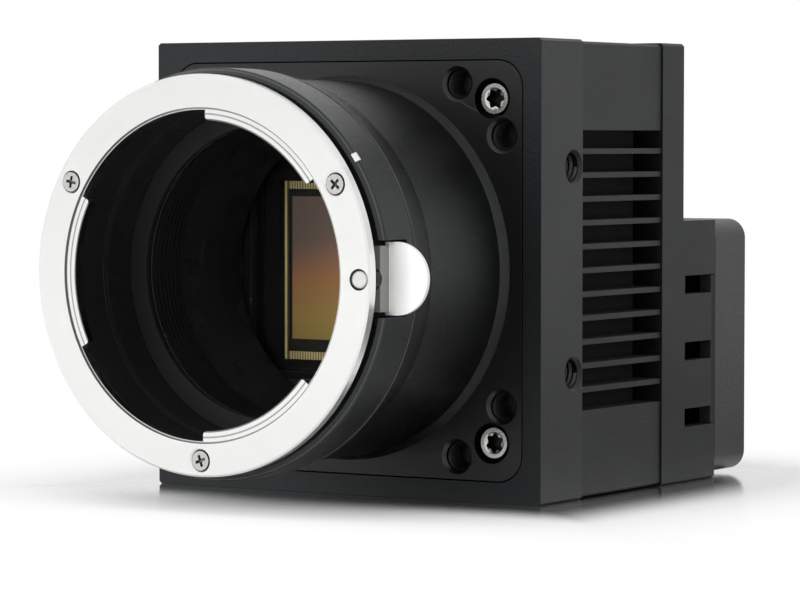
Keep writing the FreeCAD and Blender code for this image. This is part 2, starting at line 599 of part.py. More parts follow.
# Bayonet ring: turned flange with three milled lugs, three countersinks and a window for the lock pin.
ring = new_body("bayonet_ring")
sketch = new_sketch(ring)
circle(sketch, "ring_radius")
circle(sketch, "recess_radius - claw_step")
pad(ring, sketch, "ring_thickness")
sketch = new_sketch(ring)
circle(sketch, "recess_radius")
pocket(ring, sketch, "lug_setback")
dress(ring, "Chamfer", "ring_edge", rim("ring_radius", "0"))
sketch = new_sketch(ring, "lug_setback")
for start, end in LUGS:
    sector(sketch, "lug_radius", "recess_radius", start, end)
pad(ring, sketch, "ring_thickness - lug_setback")
dress(ring, "Fillet", "lug_round",
      lambda edge: along_y(edge) and math.hypot(edge.Vertexes[0].X, edge.Vertexes[0].Z)
      < value("lug_radius") + 0.01)
for angle in RING_SCREWS:
    across = f"ring_screw_circle * cos({angle} * 1deg)"
    up = f"ring_screw_circle * sin({angle} * 1deg)"
    sketch = new_sketch(ring)
    circle(sketch, "ring_screw_radius + thread_gap", across, up)
    pocket(ring, sketch, "ring_thickness")
    sink = new_sketch(ring)
    circle(sink, "ring_head_radius + 2 * thread_gap", across, up)
    taper = pocket(ring, sink, "ring_head_height + thread_gap")
    taper.setExpression("TaperAngle", bound(
        "-atan((ring_head_radius - ring_screw_radius) / ring_head_height) / 1deg"))
sketch = new_sketch(ring)
circle(sketch, "pin_radius + pin_window", "pin_circle")
pocket(ring, sketch, "ring_thickness")

small_screw = screw("bayonet_ring_screw", "ring_head_radius", "ring_head_height", "ring_screw_radius",
                    "ring_screw_length", countersunk=True)
group("bayonet_ring_screws", small_screw,
      [(f"ring_screw_circle * cos({a} * 1deg)", "ring_head_height", f"ring_screw_circle * sin({a} * 1deg)")
       for a in RING_SCREWS])

# Bayonet spring: a thin sprung ring behind the flange, with a leaf under each lug.
spring = new_body("bayonet_spring")
sketch = new_sketch(spring, "ring_thickness")
circle(sketch, "neck_radius")
circle(sketch, "spring_inner")
pad(spring, sketch, "spring_sheet")
sketch = new_sketch(spring, "ring_thickness")
for start, end in LUGS:
    sector(sketch, "leaf_inner", "spring_inner + fit_gap", start + 4, end - 4)
pad(spring, sketch, "spring_sheet")
sketch = new_sketch(spring, "ring_thickness")
for angle in RING_SCREWS:
    circle(sketch, "ring_screw_radius + thread_gap", f"ring_screw_circle * cos({angle} * 1deg)",
           f"ring_screw_circle * sin({angle} * 1deg)")
circle(sketch, "pin_radius + pin_window", "pin_circle")
pocket(spring, sketch, "spring_sheet")

# Mount tube: one turned piece with its collar, flared foot and spigot, and a slot for the lever.
tube = new_body("mount_tube")
turn(tube, [
    ("bore_radius", TUBE_FRONT), ("neck_radius", TUBE_FRONT), ("neck_radius", "collar_front"),
    ("collar_radius - collar_chamfer", "collar_front"), ("collar_radius", "collar_front + collar_chamfer"),
    ("collar_radius", "groove_place"), ("collar_radius - groove_depth", "groove_place"),
    ("collar_radius - groove_depth", "groove_place + groove_width"),
    ("collar_radius", "groove_place + groove_width"), ("collar_radius", "collar_rear"),
    ("tube_radius", "collar_rear + collar_taper"), ("tube_radius", "flange_to_front - foot_flare"),
    ("foot_radius", "flange_to_front"), ("spigot_radius", "flange_to_front"),
    ("spigot_radius", "flange_to_front + spigot_length"), ("trap_radius", "flange_to_front + spigot_length"),
    ("trap_radius", "baffle_place + baffle_thickness"), ("bore_radius", "baffle_place + baffle_thickness"),
])
slot = new_sketch(tube, TUBE_FRONT)
rectangle(slot, "collar_radius + 1 - slot_floor", "2 * (lever_half_width + slot_gap)",
          across="(collar_radius + 1 + slot_floor) / 2")
pocket(tube, slot, f"{SLOT_REAR} - {TUBE_FRONT}")
guide = new_sketch(tube, SLOT_REAR)
circle(guide, "pin_tail_radius + running_gap", "pin_circle")
pocket(tube, guide, f"{FOOT_REAR} + pin_tail + lever_travel + 0.5 - {SLOT_REAR}")
threads = new_sketch(tube, TUBE_FRONT)
for angle in RING_SCREWS:
    circle(threads, "ring_screw_radius + thread_gap", f"ring_screw_circle * cos({angle} * 1deg)",
           f"ring_screw_circle * sin({angle} * 1deg)")
pocket(tube, threads, "ring_screw_length")
threads = new_sketch(tube, "flange_to_front")
for across, up in (("1", "0"), ("-1", "0"), ("0", "1"), ("0", "-1")):
    circle(threads, "tube_screw_radius + thread_gap", f"{across} * tube_screw_circle",
           f"{up} * tube_screw_circle")
pocket(tube, threads, "tube_screw_grip + 0.5", forward=True)

# Throat baffle: a turned ring with a knife edge that stops stray light, seated on the tube's step.
baffle = new_body("throat_baffle")
turn(baffle, [
    ("bore_radius - thread_gap", "baffle_place"), ("bore_radius - thread_gap", "baffle_place + baffle_thickness"),
    ("trap_radius - baffle_lip + baffle_thickness / 2", "baffle_place + baffle_thickness"),
    ("trap_radius - baffle_lip", "baffle_place + baffle_thickness / 2"),
    ("trap_radius - baffle_lip", "baffle_place"),
])

tube_screw = screw("tube_screw", "tube_head_radius", "tube_head_height", "tube_screw_radius",
                   "tube_screw_grip + plate_thickness - tube_head_height - 2 * thread_gap")
group("tube_screws", turned_round(tube_screw),
      [(f"{sx} * tube_screw_circle", f"{PLATE_REAR} - tube_head_height - 2 * thread_gap",
        f"{sz} * tube_screw_circle")
       for sx, sz in ((1, 0), (-1, 0), (0, 1), (0, -1))])

# ---------------------------------------------------------------- lock pin and release lever

# Lock pin: domed steel pin with a shoulder, riveted into the lever's foot and guided by the tube.
lock_pin = new_body("lock_pin")
turn(lock_pin, [
    ("0", "-pin_proud"), ("pin_radius * 0.6", "-pin_proud * 0.8"), ("pin_radius", "pin_proud * 0.3"),
    ("pin_radius", f"{TUBE_FRONT} + 0.3"), ("pin_shoulder", f"{TUBE_FRONT} + 0.3"),
    ("pin_shoulder", "lever_foot"), ("pin_tail_radius", "lever_foot"),
    ("pin_tail_radius", f"{FOOT_REAR} + pin_tail"), ("0", f"{FOOT_REAR} + pin_tail"),
])
lock_pin.setExpression("Placement.Base.x", bound("pin_circle"))

# Release lever: one bent sheet, with a foot round the pin, a leg and a rounded tab outside the tube.
lever = new_body("release_lever")
sketch = new_sketch(lever, "lever_foot")
rectangle(sketch, "lever_leg - slot_floor - 0.3", "2 * lever_leg_half", across="(lever_leg + slot_floor + 0.3) / 2")
pad(lever, sketch, "lever_sheet")
sketch = new_sketch(lever, "lever_foot")
rectangle(sketch, "lever_sheet", "2 * lever_leg_half", across="lever_leg - lever_sheet / 2")
pad(lever, sketch, "lever_tab + lever_sheet - lever_foot")
sketch = new_sketch(lever, "lever_tab")
left, bend = "lever_leg - lever_sheet", "lever_reach - lever_half_width"
top = sketch.addGeometry(Part.LineSegment(vector(left, "lever_half_width", "0"),
                                          vector(bend, "lever_half_width", "0")), False)
low = sketch.addGeometry(Part.LineSegment(vector(left, "-lever_half_width", "0"),
                                          vector(bend, "-lever_half_width", "0")), False)
back = sketch.addGeometry(Part.LineSegment(vector(left, "-lever_half_width", "0"),
                                           vector(left, "lever_half_width", "0")), False)
nose_circle = Part.Circle(vector(bend, "0", "0"), FreeCAD.Vector(0, 0, 1), value("lever_half_width"))
nose = sketch.addGeometry(Part.ArcOfCircle(nose_circle, -math.pi / 2, math.pi / 2), False)
fix_point(sketch, top, 1, left, "lever_half_width")
fix_point(sketch, top, 2, bend, "lever_half_width")
fix_point(sketch, low, 1, left, "-lever_half_width")
fix_point(sketch, low, 2, bend, "-lever_half_width")
for here, point, there, other in ((back, 1, low, 1), (back, 2, top, 1), (nose, 1, low, 2), (nose, 2, top, 2)):
    sketch.addConstraint(Sketcher.Constraint("Coincident", here, point, there, other))
constrain(sketch, "DistanceX", -1, 1, nose, 3, bend)
pad(lever, sketch, "lever_sheet")
sketch = new_sketch(lever, "lever_foot")
circle(sketch, "pin_tail_radius", "pin_circle")
pocket(lever, sketch, "lever_sheet")
coil_radius = "(pin_tail_radius + running_gap + coil_wire)"
relief = new_sketch(lever, FOOT_REAR)
circle(relief, f"{coil_radius} + coil_wire + fit_gap", "pin_circle")
pocket(lever, relief, f"lever_tab + lever_sheet - {FOOT_REAR}")

# Lever spring: a steel coil round the pin's tail, between the lever's foot and the end of the slot.
coil = new_body("lever_spring")
coil_room = f"({SLOT_REAR} - {FOOT_REAR} - 2 * coil_wire - fit_gap)"
sketch = new_sketch(coil, role="XY_Plane")
circle(sketch, "coil_wire", coil_radius, "0")
winding = coil.newObject("PartDesign::AdditiveHelix", "lever_spring_winding")
winding.Profile = sketch
winding.ReferenceAxis = (sketch, ["V_Axis"])
winding.Mode = "height-turns-growth"
winding.setExpression("Height", bound(coil_room))
winding.setExpression("Turns", bound("coil_turns"))
coil.setExpression("Placement.Base.x", bound("pin_circle"))
coil.setExpression("Placement.Base.y", bound(f"{FOOT_REAR} + coil_wire + fit_gap / 2"))

# ---------------------------------------------------------------- front of the case

# Face plate: a square plate let into the frame, bored for the tube, with counterbores and blind threads.
plate = new_body("face_plate")
sketch = new_sketch(plate, "flange_to_front")
rectangle(sketch, "plate_side", "plate_side")
circle(sketch, "spigot_radius + thread_gap")
pad(plate, sketch, "plate_thickness")
dress(plate, "Fillet", "plate_corner", along_y)
sketch = new_sketch(plate, "flange_to_front")
for across, _, up in four_corners("plate_screw_x", "plate_screw_z", "0"):
    circle(sketch, "plate_screw_radius + thread_gap", across, up)
pocket(plate, sketch, "plate_thickness")
sketch = new_sketch(plate, "flange_to_front")
for across, _, up in four_corners("plate_screw_x", "plate_screw_z", "0"):
    circle(sketch, "plate_sink_radius", across, up)
pocket(plate, sketch, "plate_sink_depth")
mounting_holes = (four_corners("mount_hole_near", "mount_hole_far", "0")
                  + four_corners("mount_hole_far", "mount_hole_near", "0"))
sketch = new_sketch(plate, "flange_to_front")
for across, _, up in mounting_holes:
    circle(sketch, "mount_hole_radius", across, up)
pocket(plate, sketch, "plate_hole_depth")
sketch = new_sketch(plate, "flange_to_front")
for across, _, up in mounting_holes:
    circle(sketch, "mount_hole_mouth", across, up)
mouths = pocket(plate, sketch, "mount_hole_mouth - mount_hole_radius")
mouths.TaperAngle = -45.0
sketch = new_sketch(plate, PLATE_REAR)
for across, up in (("1", "0"), ("-1", "0"), ("0", "1"), ("0", "-1")):
    circle(sketch, "tube_screw_radius + thread_gap", f"{across} * tube_screw_circle", f"{up} * tube_screw_circle")
pocket(plate, sketch, "plate_thickness", forward=True)
sketch = new_sketch(plate, PLATE_REAR)
for across, up in (("1", "0"), ("-1", "0"), ("0", "1"), ("0", "-1")):
    circle(sketch, "tube_head_radius + fit_gap", f"{across} * tube_screw_circle", f"{up} * tube_screw_circle")
pocket(plate, sketch, "tube_head_height + 2 * thread_gap", forward=True)
sketch = new_sketch(plate, PLATE_REAR)
for across, _, up in four_corners("retainer_screw_x", "retainer_screw_z", "0"):
    circle(sketch, "small_screw_radius + thread_gap", across, up)
pocket(plate, sketch, "small_screw_grip + 0.3", forward=True)

plate_screw = screw("face_plate_screw", "plate_head_radius", "plate_head_height", "plate_screw_radius",
                    "plate_thickness - plate_sink_depth + plate_screw_grip")
group("face_plate_screws", plate_screw,
      four_corners("plate_screw_x", "plate_screw_z", "flange_to_front + plate_sink_depth"))

# Front frame: a machined square frame with corner blocks that take the plate, the board and the housing.
frame = new_body("front_frame")
sketch = new_sketch(frame, "flange_to_front")
rectangle(sketch, "body_width", "body_width")
pad(frame, sketch, "frame_depth")
dress(frame, "Chamfer", "edge_break", along_y)
sketch = new_sketch(frame, "flange_to_front")
rectangle(sketch, "plate_side + 2 * plate_gap", "plate_side + 2 * plate_gap")
pocket(frame, sketch, "plate_thickness")
dress(frame, "Fillet", "plate_corner + plate_gap",
      lambda edge: along_y(edge) and abs(abs(edge.Vertexes[0].X) - value("plate_side / 2 + plate_gap")) < 0.01)
sketch = new_sketch(frame, PLATE_REAR)
inner, near_x, near_z = "frame_inner", "frame_block_x", "frame_block_z"
polygon(sketch, [(inner, near_z), (near_x, near_z), (near_x, inner), (f"-{near_x}", inner),
                 (f"-{near_x}", near_z), (f"-{inner}", near_z), (f"-{inner}", f"-{near_z}"),
                 (f"-{near_x}", f"-{near_z}"), (f"-{near_x}", f"-{inner}"), (near_x, f"-{inner}"),
                 (near_x, f"-{near_z}"), (inner, f"-{near_z}")])
pocket(frame, sketch, "frame_depth - plate_thickness")
sketch = new_sketch(frame, PACKAGE_REAR)
rectangle(sketch, "2 * frame_inner", "2 * frame_inner")
pocket(frame, sketch, f"{FRAME_REAR} - {PACKAGE_REAR}")
sketch = new_sketch(frame, PLATE_REAR)
for across, _, up in four_corners("plate_screw_x", "plate_screw_z", "0"):
    circle(sketch, "plate_screw_radius + thread_gap", across, up)
pocket(frame, sketch, "plate_screw_grip + 0.3")
sketch = new_sketch(frame, PACKAGE_REAR)
for across, _, up in four_corners("board_screw_x", "board_screw_z", "0"):
    circle(sketch, "small_screw_radius + thread_gap", across, up)
pocket(frame, sketch, "small_screw_grip + 0.3", forward=True)
sketch = new_sketch(frame, PLATE_REAR)
for across, _, up in four_corners("frame_screw_place", "frame_screw_place", "0"):
    circle(sketch, "case_screw_radius + thread_gap", across, up)
pocket(frame, sketch, "frame_depth - plate_thickness")
sketch = new_sketch(frame, PLATE_REAR)
for across, _, up in four_corners("frame_screw_place", "frame_screw_place", "0"):
    circle(sketch, "case_head_radius + 2 * thread_gap", across, up)
sinks = pocket(frame, sketch, "frame_head_height + thread_gap")
sinks.setExpression("TaperAngle", bound(
    "-atan((case_head_radius - case_screw_radius) / frame_head_height) / 1deg"))
sketch = new_sketch(frame, HALF_BODY, role="YZ_Plane")
for up in ("side_hole_spacing / 2", "-side_hole_spacing / 2"):
    circle(sketch, "mount_hole_radius", f"{FRAME_REAR} - side_hole_margin", up)
cores = pocket(frame, sketch, "side_hole_depth")
sketch = new_sketch(frame, HALF_BODY, role="YZ_Plane")
for up in ("side_hole_spacing / 2", "-side_hole_spacing / 2"):
    circle(sketch, "mount_hole_mouth", f"{FRAME_REAR} - side_hole_margin", up)
mouths = pocket(frame, sketch, "mount_hole_mouth - mount_hole_radius")
mouths.TaperAngle = -45.0
repeat(frame, [cores, mouths], "4")

frame_screw = screw("frame_screw", "case_head_radius", "frame_head_height", "case_screw_radius",
                    "frame_depth - plate_thickness - frame_head_height + case_screw_grip", countersunk=True)
group("frame_screws", frame_screw,
      four_corners("frame_screw_place", "frame_screw_place", f"{PLATE_REAR} + frame_head_height"))

# ---------------------------------------------------------------- filter and sensor

glass = new_body("filter_glass")
sketch = new_sketch(glass, PLATE_REAR)
rectangle(sketch, "glass_width", "glass_height")
pad(glass, sketch, "glass_thickness")

gasket = new_body("filter_gasket")
sketch = new_sketch(gasket, GASKET_FRONT)
rectangle(sketch, "glass_width", "glass_height")
rectangle(sketch, "window_width + 2 * fit_gap", "window_height + 2 * fit_gap")
pad(gasket, sketch, "gasket_thickness")

retainer = new_body("filter_retainer")
sketch = new_sketch(retainer, PLATE_REAR)
rectangle(sketch, "retainer_width", "retainer_height")
rectangle(sketch, "window_width", "window_height")
pad(retainer, sketch, "retainer_depth")
sketch = new_sketch(retainer, PLATE_REAR)
rectangle(sketch, "glass_width + 2 * fit_gap", "glass_height + 2 * fit_gap")
pocket(retainer, sketch, "glass_thickness + gasket_thickness")
sketch = new_sketch(retainer, PLATE_REAR)
for across, _, up in four_corners("retainer_screw_x", "retainer_screw_z", "0"):
    circle(sketch, "small_screw_radius + thread_gap", across, up)
pocket(retainer, sketch, "retainer_depth")

retainer_screw = screw("retainer_screw", "small_head_radius", "small_head_height", "small_screw_radius",
                       "retainer_depth + small_screw_grip")
group("retainer_screws", turned_round(retainer_screw),
      four_corners("retainer_screw_x", "retainer_screw_z", RETAINER_REAR))

package = new_body("sensor_package")
sketch = new_sketch(package, PACKAGE_FRONT)
rectangle(sketch, "package_width", "package_height", up="-sensor_drop")
pad(package, sketch, "package_thickness")
sketch = new_sketch(package, PACKAGE_FRONT)
rectangle(sketch, "package_width - 2 * package_wall", "bond_height + 2 * fit_gap", up="-sensor_drop")
pocket(package, sketch, f"{DIE_REAR} - {PACKAGE_FRONT}")

lid = new_body("sensor_lid")
sketch = new_sketch(lid, f"{PACKAGE_FRONT} - lid_thickness")
rectangle(sketch, "package_width - 2 * lid_margin", "package_height - 2 * lid_margin", up="-sensor_drop")
pad(lid, sketch, "lid_thickness")

bond_frame = new_body("sensor_bond_frame")
sketch = new_sketch(bond_frame, f"{DIE_REAR} - bond_thickness")
rectangle(sketch, "bond_width", "bond_height", up="-sensor_drop")
rectangle(sketch, "die_width + 2 * fit_gap", "die_height + 2 * fit_gap", up="-sensor_drop")
pad(bond_frame, sketch, "bond_thickness")

die = new_body("sensor_die")
sketch = new_sketch(die, "sensor_place")
rectangle(sketch, "die_width", "die_height", up="-sensor_drop")
pad(die, sketch, "die_thickness")

sensor_board = new_body("sensor_board")
sketch = new_sketch(sensor_board, PACKAGE_REAR)
rectangle(sketch, "2 * frame_inner - 4 * fit_gap", "2 * frame_inner - 4 * fit_gap")
pad(sensor_board, sketch, "board_thickness")
dress(sensor_board, "Chamfer", "board_corner", along_y)
sketch = new_sketch(sensor_board, PACKAGE_REAR)
for across, _, up in four_corners("board_screw_x", "board_screw_z", "0"):
    circle(sketch, "small_screw_radius + thread_gap", across, up)
pocket(sensor_board, sketch, "board_thickness")

board_screw = screw("sensor_board_screw", "small_head_radius", "small_head_height", "small_screw_radius",
                    "board_thickness + small_screw_grip")
group("sensor_board_screws", turned_round(board_screw),
      four_corners("board_screw_x", "board_screw_z", SENSOR_BOARD_REAR))

heat_pad = new_body("thermal_pad")
sketch = new_sketch(heat_pad, SENSOR_BOARD_REAR)
rectangle(sketch, "pad_width", "pad_height")
pad(heat_pad, sketch, f"{WEB_FRONT} - {SENSOR_BOARD_REAR}")

# ---------------------------------------------------------------- middle housing and its boards


def notched_square(sketch, half, notch):
    """A square outline whose corners are cut out to clear the housing's posts."""
    polygon(sketch, [(half, notch), (notch, notch), (notch, half), (f"-({notch})", half),
                     (f"-({notch})", notch), (f"-({half})", notch), (f"-({half})", f"-({notch})"),
                     (f"-({notch})", f"-({notch})"), (f"-({notch})", f"-({half})"), (notch, f"-({half})"),
                     (notch, f"-({notch})"), (half, f"-({notch})")])


housing = new_body("mid_housing")
sketch = new_sketch(housing, FRAME_REAR)
rectangle(sketch, f"2 * {HALF_HOUSING}", f"2 * {HALF_HOUSING}")
pad(housing, sketch, "housing_depth")
dress(housing, "Chamfer", "edge_break", along_y)
sketch = new_sketch(housing, FRAME_REAR)
notched_square(sketch, HOUSE_INNER, "post_place")
pocket(housing, sketch, "web_place")
sketch = new_sketch(housing, WEB_REAR)
notched_square(sketch, HOUSE_INNER, "post_place")
pocket(housing, sketch, f"{HOUSING_REAR} - {WEB_REAR}")
sketch = new_sketch(housing, WEB_FRONT)
rectangle(sketch, "web_slot_width", "web_slot_height", up="-link_place")
pocket(housing, sketch, "web_thickness")
sketch = new_sketch(housing, FRAME_REAR)
for across, _, up in four_corners("frame_screw_place", "frame_screw_place", "0"):
    circle(sketch, "case_screw_radius + thread_gap", across, up)
pocket(housing, sketch, "case_screw_grip + 0.5")
sketch = new_sketch(housing, HOUSING_REAR)
for sx, sz in ((1, 1), (-1, 1), (-1, -1)):
    circle(sketch, "case_screw_radius + thread_gap", f"{sx} * frame_screw_place", f"{sz} * frame_screw_place")
circle(sketch, "fan_screw_radius + thread_gap", "fan_x + fan_hole_spacing / 2", "fan_z - fan_hole_spacing / 2")
pocket(housing, sketch, "case_screw_grip + 0.5", forward=True)
sketch = new_sketch(housing, WEB_REAR)
for across, _, up in four_corners("spacer_x", "spacer_z", "0"):
    circle(sketch, "stud_radius + thread_gap", across, up)
pocket(housing, sketch, "stud_length + 0.1", forward=True)


def side_grooves(side):
    """Cooling grooves in one side of the housing, open into it at their rear ends."""
    cuts = []
    for depth, length in (("fin_depth", "housing_depth"), ("case_wall", "fin_outlet")):
        sketch = new_sketch(housing, f"{side}{HALF_HOUSING}", role="YZ_Plane")
        rectangle(sketch, length, "fin_slot", across=f"{HOUSING_REAR} - ({length}) / 2",
                  up="fin_centre + fin_pitch * (fin_count - 1) / 2")
        cut = pocket(housing, sketch, depth, forward=side == "-")
        rows = housing.newObject("PartDesign::LinearPattern", "mid_housing_grooves")
        rows.Originals = [cut]
        rows.Direction = (next(f for f in housing.Origin.OriginFeatures if f.Role == "Z_Axis"), [""])
        rows.Reversed = True
        rows.setExpression("Length", bound("fin_pitch * (fin_count - 1)"))
        rows.setExpression("Occurrences", bound("fin_count"))
        housing.Tip = rows
        cuts.append(rows)
    return cuts


side_grooves("")
side_grooves("-")


def spacer_set(label, base, height, stud):
    """Four hexagon spacers with a threaded stud towards the front and a threaded hole in the rear."""
    body = doc.addObject("PartDesign::Body", f"{label}_master")
    body.Label = f"{label}_master"
    sketch = new_sketch(body)
    hexagon(sketch, "spacer_across")
    pad(body, sketch, height)
    sketch = new_sketch(body, f"-({stud})")
    circle(sketch, "stud_radius")
    pad(body, sketch, f"({stud}) + 0.5")
    sketch = new_sketch(body, height)
    circle(sketch, "stud_radius + thread_gap")
    pocket(body, sketch, f"({height}) - 1", forward=True)
    doc.recompute()
    group(label, body.Shape, four_corners("spacer_x", "spacer_z", base))


spacer_set("board_spacers", WEB_REAR, "spacer_height", "stud_length")
spacer_set("rear_board_spacers", PROCESSING_REAR, "rear_spacer_height", "board_thickness + stud_length")


def circuit_board(label, front):
    """A board that fits between the housing's corner posts, held at the spacers."""
    body = new_body(label)
    sketch = new_sketch(body, front)
    notched_square(sketch, f"({HOUSE_INNER} - 3 * fit_gap)", "(post_place - 3 * fit_gap)")
    pad(body, sketch, "board_thickness")
    sketch = new_sketch(body, front)
    for across, _, up in four_corners("spacer_x", "spacer_z", "0"):
        circle(sketch, "stud_radius + thread_gap", across, up)
    pocket(body, sketch, "board_thickness")
    return body


circuit_board("processing_board", PROCESSING_FRONT)
circuit_board("interface_board", INTERFACE_FRONT)

stack_screw = screw("board_screw", "board_head_radius", "board_head_height", "stud_radius",
                    "board_thickness + rear_spacer_height / 2")
group("board_screws", turned_round(stack_screw), four_corners("spacer_x", "spacer_z", INTERFACE_REAR))

chip = new_body("processor_chip")
sketch = new_sketch(chip, PROCESSING_REAR)
rectangle(sketch, "chip_side", "chip_side")
pad(chip, sketch, "chip_thickness")
dress(chip, "Chamfer", "edge_break", along_y)

memory = Part.makeBox(value("memory_width"), value("memory_thickness"), value("memory_height"))
memory.translate(vector("-memory_width / 2", "0", "-memory_height / 2"))
group("memory_chips", memory,
      [(f"{sx} * memory_place", PROCESSING_REAR, f"{sz} * (memory_height / 2 + 1)")
       for sx in (1, -1) for sz in (1, -1)])

connectors = doc.addObject("Part::Feature", "board_connectors")
connectors.Label = "board_connectors"
links = []
for front, rear in ((SENSOR_BOARD_REAR, PROCESSING_FRONT), (PROCESSING_REAR, INTERFACE_FRONT)):
    link = Part.makeBox(value("link_width"), value(f"{rear} - {front}"), value("link_height"))
    link.translate(vector("-link_width / 2", front, "-link_place - link_height / 2"))
    links.append(link)
connectors.Shape = Part.makeCompound(links)
nodes.append(connectors)

# ---------------------------------------------------------------- rear cover

# Rear cover: a machined cover in one piece with the square duct that carries the fan.
cover = new_body("rear_cover")
sketch = new_sketch(cover, HOUSING_REAR)
rectangle(sketch, "body_width", "body_width")
pad(cover, sketch, "cover_depth")
duct_width = f"({HALF_BODY} + duct_left)"
duct_height = f"({HALF_BODY} + duct_top)"
sketch = new_sketch(cover, COVER_REAR)
rectangle(sketch, duct_width, duct_height, across=f"({HALF_BODY} - duct_left) / 2",
          up=f"(duct_top - {HALF_BODY}) / 2")
pad(cover, sketch, "duct_depth")
dress(cover, "Chamfer", "edge_break",
      lambda edge: along_y(edge) and abs(edge.Vertexes[0].X) > value(HALF_BODY) - 0.01
      and abs(edge.Vertexes[0].Z) > value(HALF_BODY) - 0.01)
sketch = new_sketch(cover, HOUSING_REAR)
notched_square(sketch, HOUSE_INNER, "post_place")
pocket(cover, sketch, "cover_depth - cover_floor")
sketch = new_sketch(cover, COVER_INSIDE)
circle(sketch, "duct_bore", "fan_x", "fan_z")
pocket(cover, sketch, "cover_floor + duct_depth")
sketch = new_sketch(cover, GASKET_PLACE)
gasket_left, gasket_right = "(fan_x - fan_side / 2 + duct_rim)", "(fan_x + fan_side / 2 - duct_rim)"
gasket_low, gasket_high = "(fan_z - fan_side / 2 + duct_rim)", "(fan_z + fan_side / 2 - duct_rim)"
vent_low = "(vent_top - vent_pitch * (vent_count - 1) - vent_height / 2)"
vent_high = "(vent_top + vent_height / 2)"
polygon(sketch, [(gasket_left, gasket_low), (gasket_right, gasket_low), (gasket_right, vent_low),
                 (f"{HALF_BODY} + 1", vent_low), (f"{HALF_BODY} + 1", vent_high), (gasket_right, vent_high),
                 (gasket_right, gasket_high), (gasket_left, gasket_high)])
pocket(cover, sketch, "gasket_depth")
sketch = new_sketch(cover, HALF_BODY, role="YZ_Plane")
rectangle(sketch, "vent_length", "vent_height", across=f"{COVER_REAR} + vent_front + vent_length / 2",
          up="vent_top")
vent = pocket(cover, sketch, "fan_side / 4")
vents = cover.newObject("PartDesign::LinearPattern", "rear_cover_vents")
vents.Originals = [vent]
vents.Direction = (next(f for f in cover.Origin.OriginFeatures if f.Role == "Z_Axis"), [""])
vents.Reversed = True
vents.setExpression("Length", bound("vent_pitch * (vent_count - 1)"))
vents.setExpression("Occurrences", bound("vent_count"))
cover.Tip = vents
fan_holes = [(f"fan_x + {sx} * fan_hole_spacing / 2", f"fan_z + {sz} * fan_hole_spacing / 2")
             for sx, sz in ((1, 1), (-1, 1), (-1, -1), (1, -1))]
sketch = new_sketch(cover, GASKET_PLACE)
for across, up in fan_holes[:3]:
    circle(sketch, "fan_screw_radius + thread_gap", across, up)
pocket(cover, sketch, "fan_screw_grip + 0.5", forward=True)
sketch = new_sketch(cover, GASKET_PLACE)
circle(sketch, "fan_screw_radius + thread_gap", *fan_holes[3])
pocket(cover, sketch, f"{GASKET_PLACE} - {HOUSING_REAR}", forward=True)
cover_corners = [(f"{sx} * frame_screw_place", f"{sz} * frame_screw_place")
                 for sx, sz in ((1, 1), (-1, 1), (-1, -1))]
sketch = new_sketch(cover, COVER_REAR)
for across, up in cover_corners:
    circle(sketch, "case_screw_radius + thread_gap", across, up)
pocket(cover, sketch, "cover_depth", forward=True)
sketch = new_sketch(cover, COVER_REAR)
for across, up in cover_corners:
    circle(sketch, "case_head_radius + 0.15", across, up)
pocket(cover, sketch, "case_head_height + 0.2", forward=True)
coax_places = [f"coax_first + {number} * coax_pitch" for number in range(round(value("coax_count")))]
sketch = new_sketch(cover, COVER_INSIDE)
for across in coax_places:
    circle(sketch, "coax_radius + fit_gap", across, "coax_height")
circle(sketch, "power_radius + fit_gap", "power_x", "power_z")
circle(sketch, "led_radius + fit_gap", "led_x", "led_z")
pocket(cover, sketch, "cover_floor")

cover_screw = screw("rear_cover_screw", "case_head_radius", "case_head_height", "case_screw_radius",
                    "cover_depth - case_head_height - 0.2 + case_screw_grip")
group("rear_cover_screws", turned_round(cover_screw),
      [(across, f"{COVER_REAR} - case_head_height - 0.2", up) for across, up in cover_corners])


def socket_shell(label, radius, bore, base, reach, mouth):
    """A connector's shell: a base on the board and a barrel with a socket in its rear end."""
    body = doc.addObject("PartDesign::Body", f"{label}_master")
    body.Label = f"{label}_master"
    sketch = new_sketch(body, INTERFACE_REAR)
    rectangle(sketch, base, base)
    pad(body, sketch, f"{COVER_INSIDE} - {INTERFACE_REAR} - fit_gap")
    sketch = new_sketch(body, f"{COVER_INSIDE} - fit_gap")
    circle(sketch, radius)
    pad(body, sketch, f"cover_floor + ({reach}) + fit_gap")
    sketch = new_sketch(body, f"{COVER_REAR} + ({reach})")
    circle(sketch, bore)
    pocket(body, sketch, mouth, forward=True)
    doc.recompute()
    return body.Shape


def connector_nut(label, across_flats, hole):
    """The hexagon nut that clamps a connector to the rear cover."""
    body = doc.addObject("PartDesign::Body", f"{label}_master")
    body.Label = f"{label}_master"
    sketch = new_sketch(body, COVER_REAR)
    hexagon(sketch, across_flats)
    circle(sketch, f"({hole}) + thread_gap")
    pad(body, sketch, "nut_thickness")
    doc.recompute()
    return body.Shape


def round_bar(radius, length):
    """A plain round bar along +Y from Y = 0."""
    return Part.makeCylinder(value(radius), value(length), FreeCAD.Vector(0, 0, 0), FreeCAD.Vector(0, 1, 0))


COAX_FLOOR = f"({COVER_REAR} + 1)"
coax_rows = [(across, "0", "coax_height") for across in coax_places]
group("coax_jacks", socket_shell("coax_jack", "coax_radius", "coax_bore", "coax_base", "coax_length",
                                 f"coax_length - 1"), coax_rows)
group("coax_nuts", connector_nut("coax_nut", "coax_nut", "coax_radius"), coax_rows)
insert = round_bar("insert_radius", "coax_length - 3").cut(round_bar("contact_radius", "coax_length"))
group("coax_inserts", insert, [(across, COAX_FLOOR, "coax_height") for across in coax_places])
group("coax_contacts", round_bar("contact_radius", "coax_length - 2.4"),
      [(across, COAX_FLOOR, "coax_height") for across in coax_places])

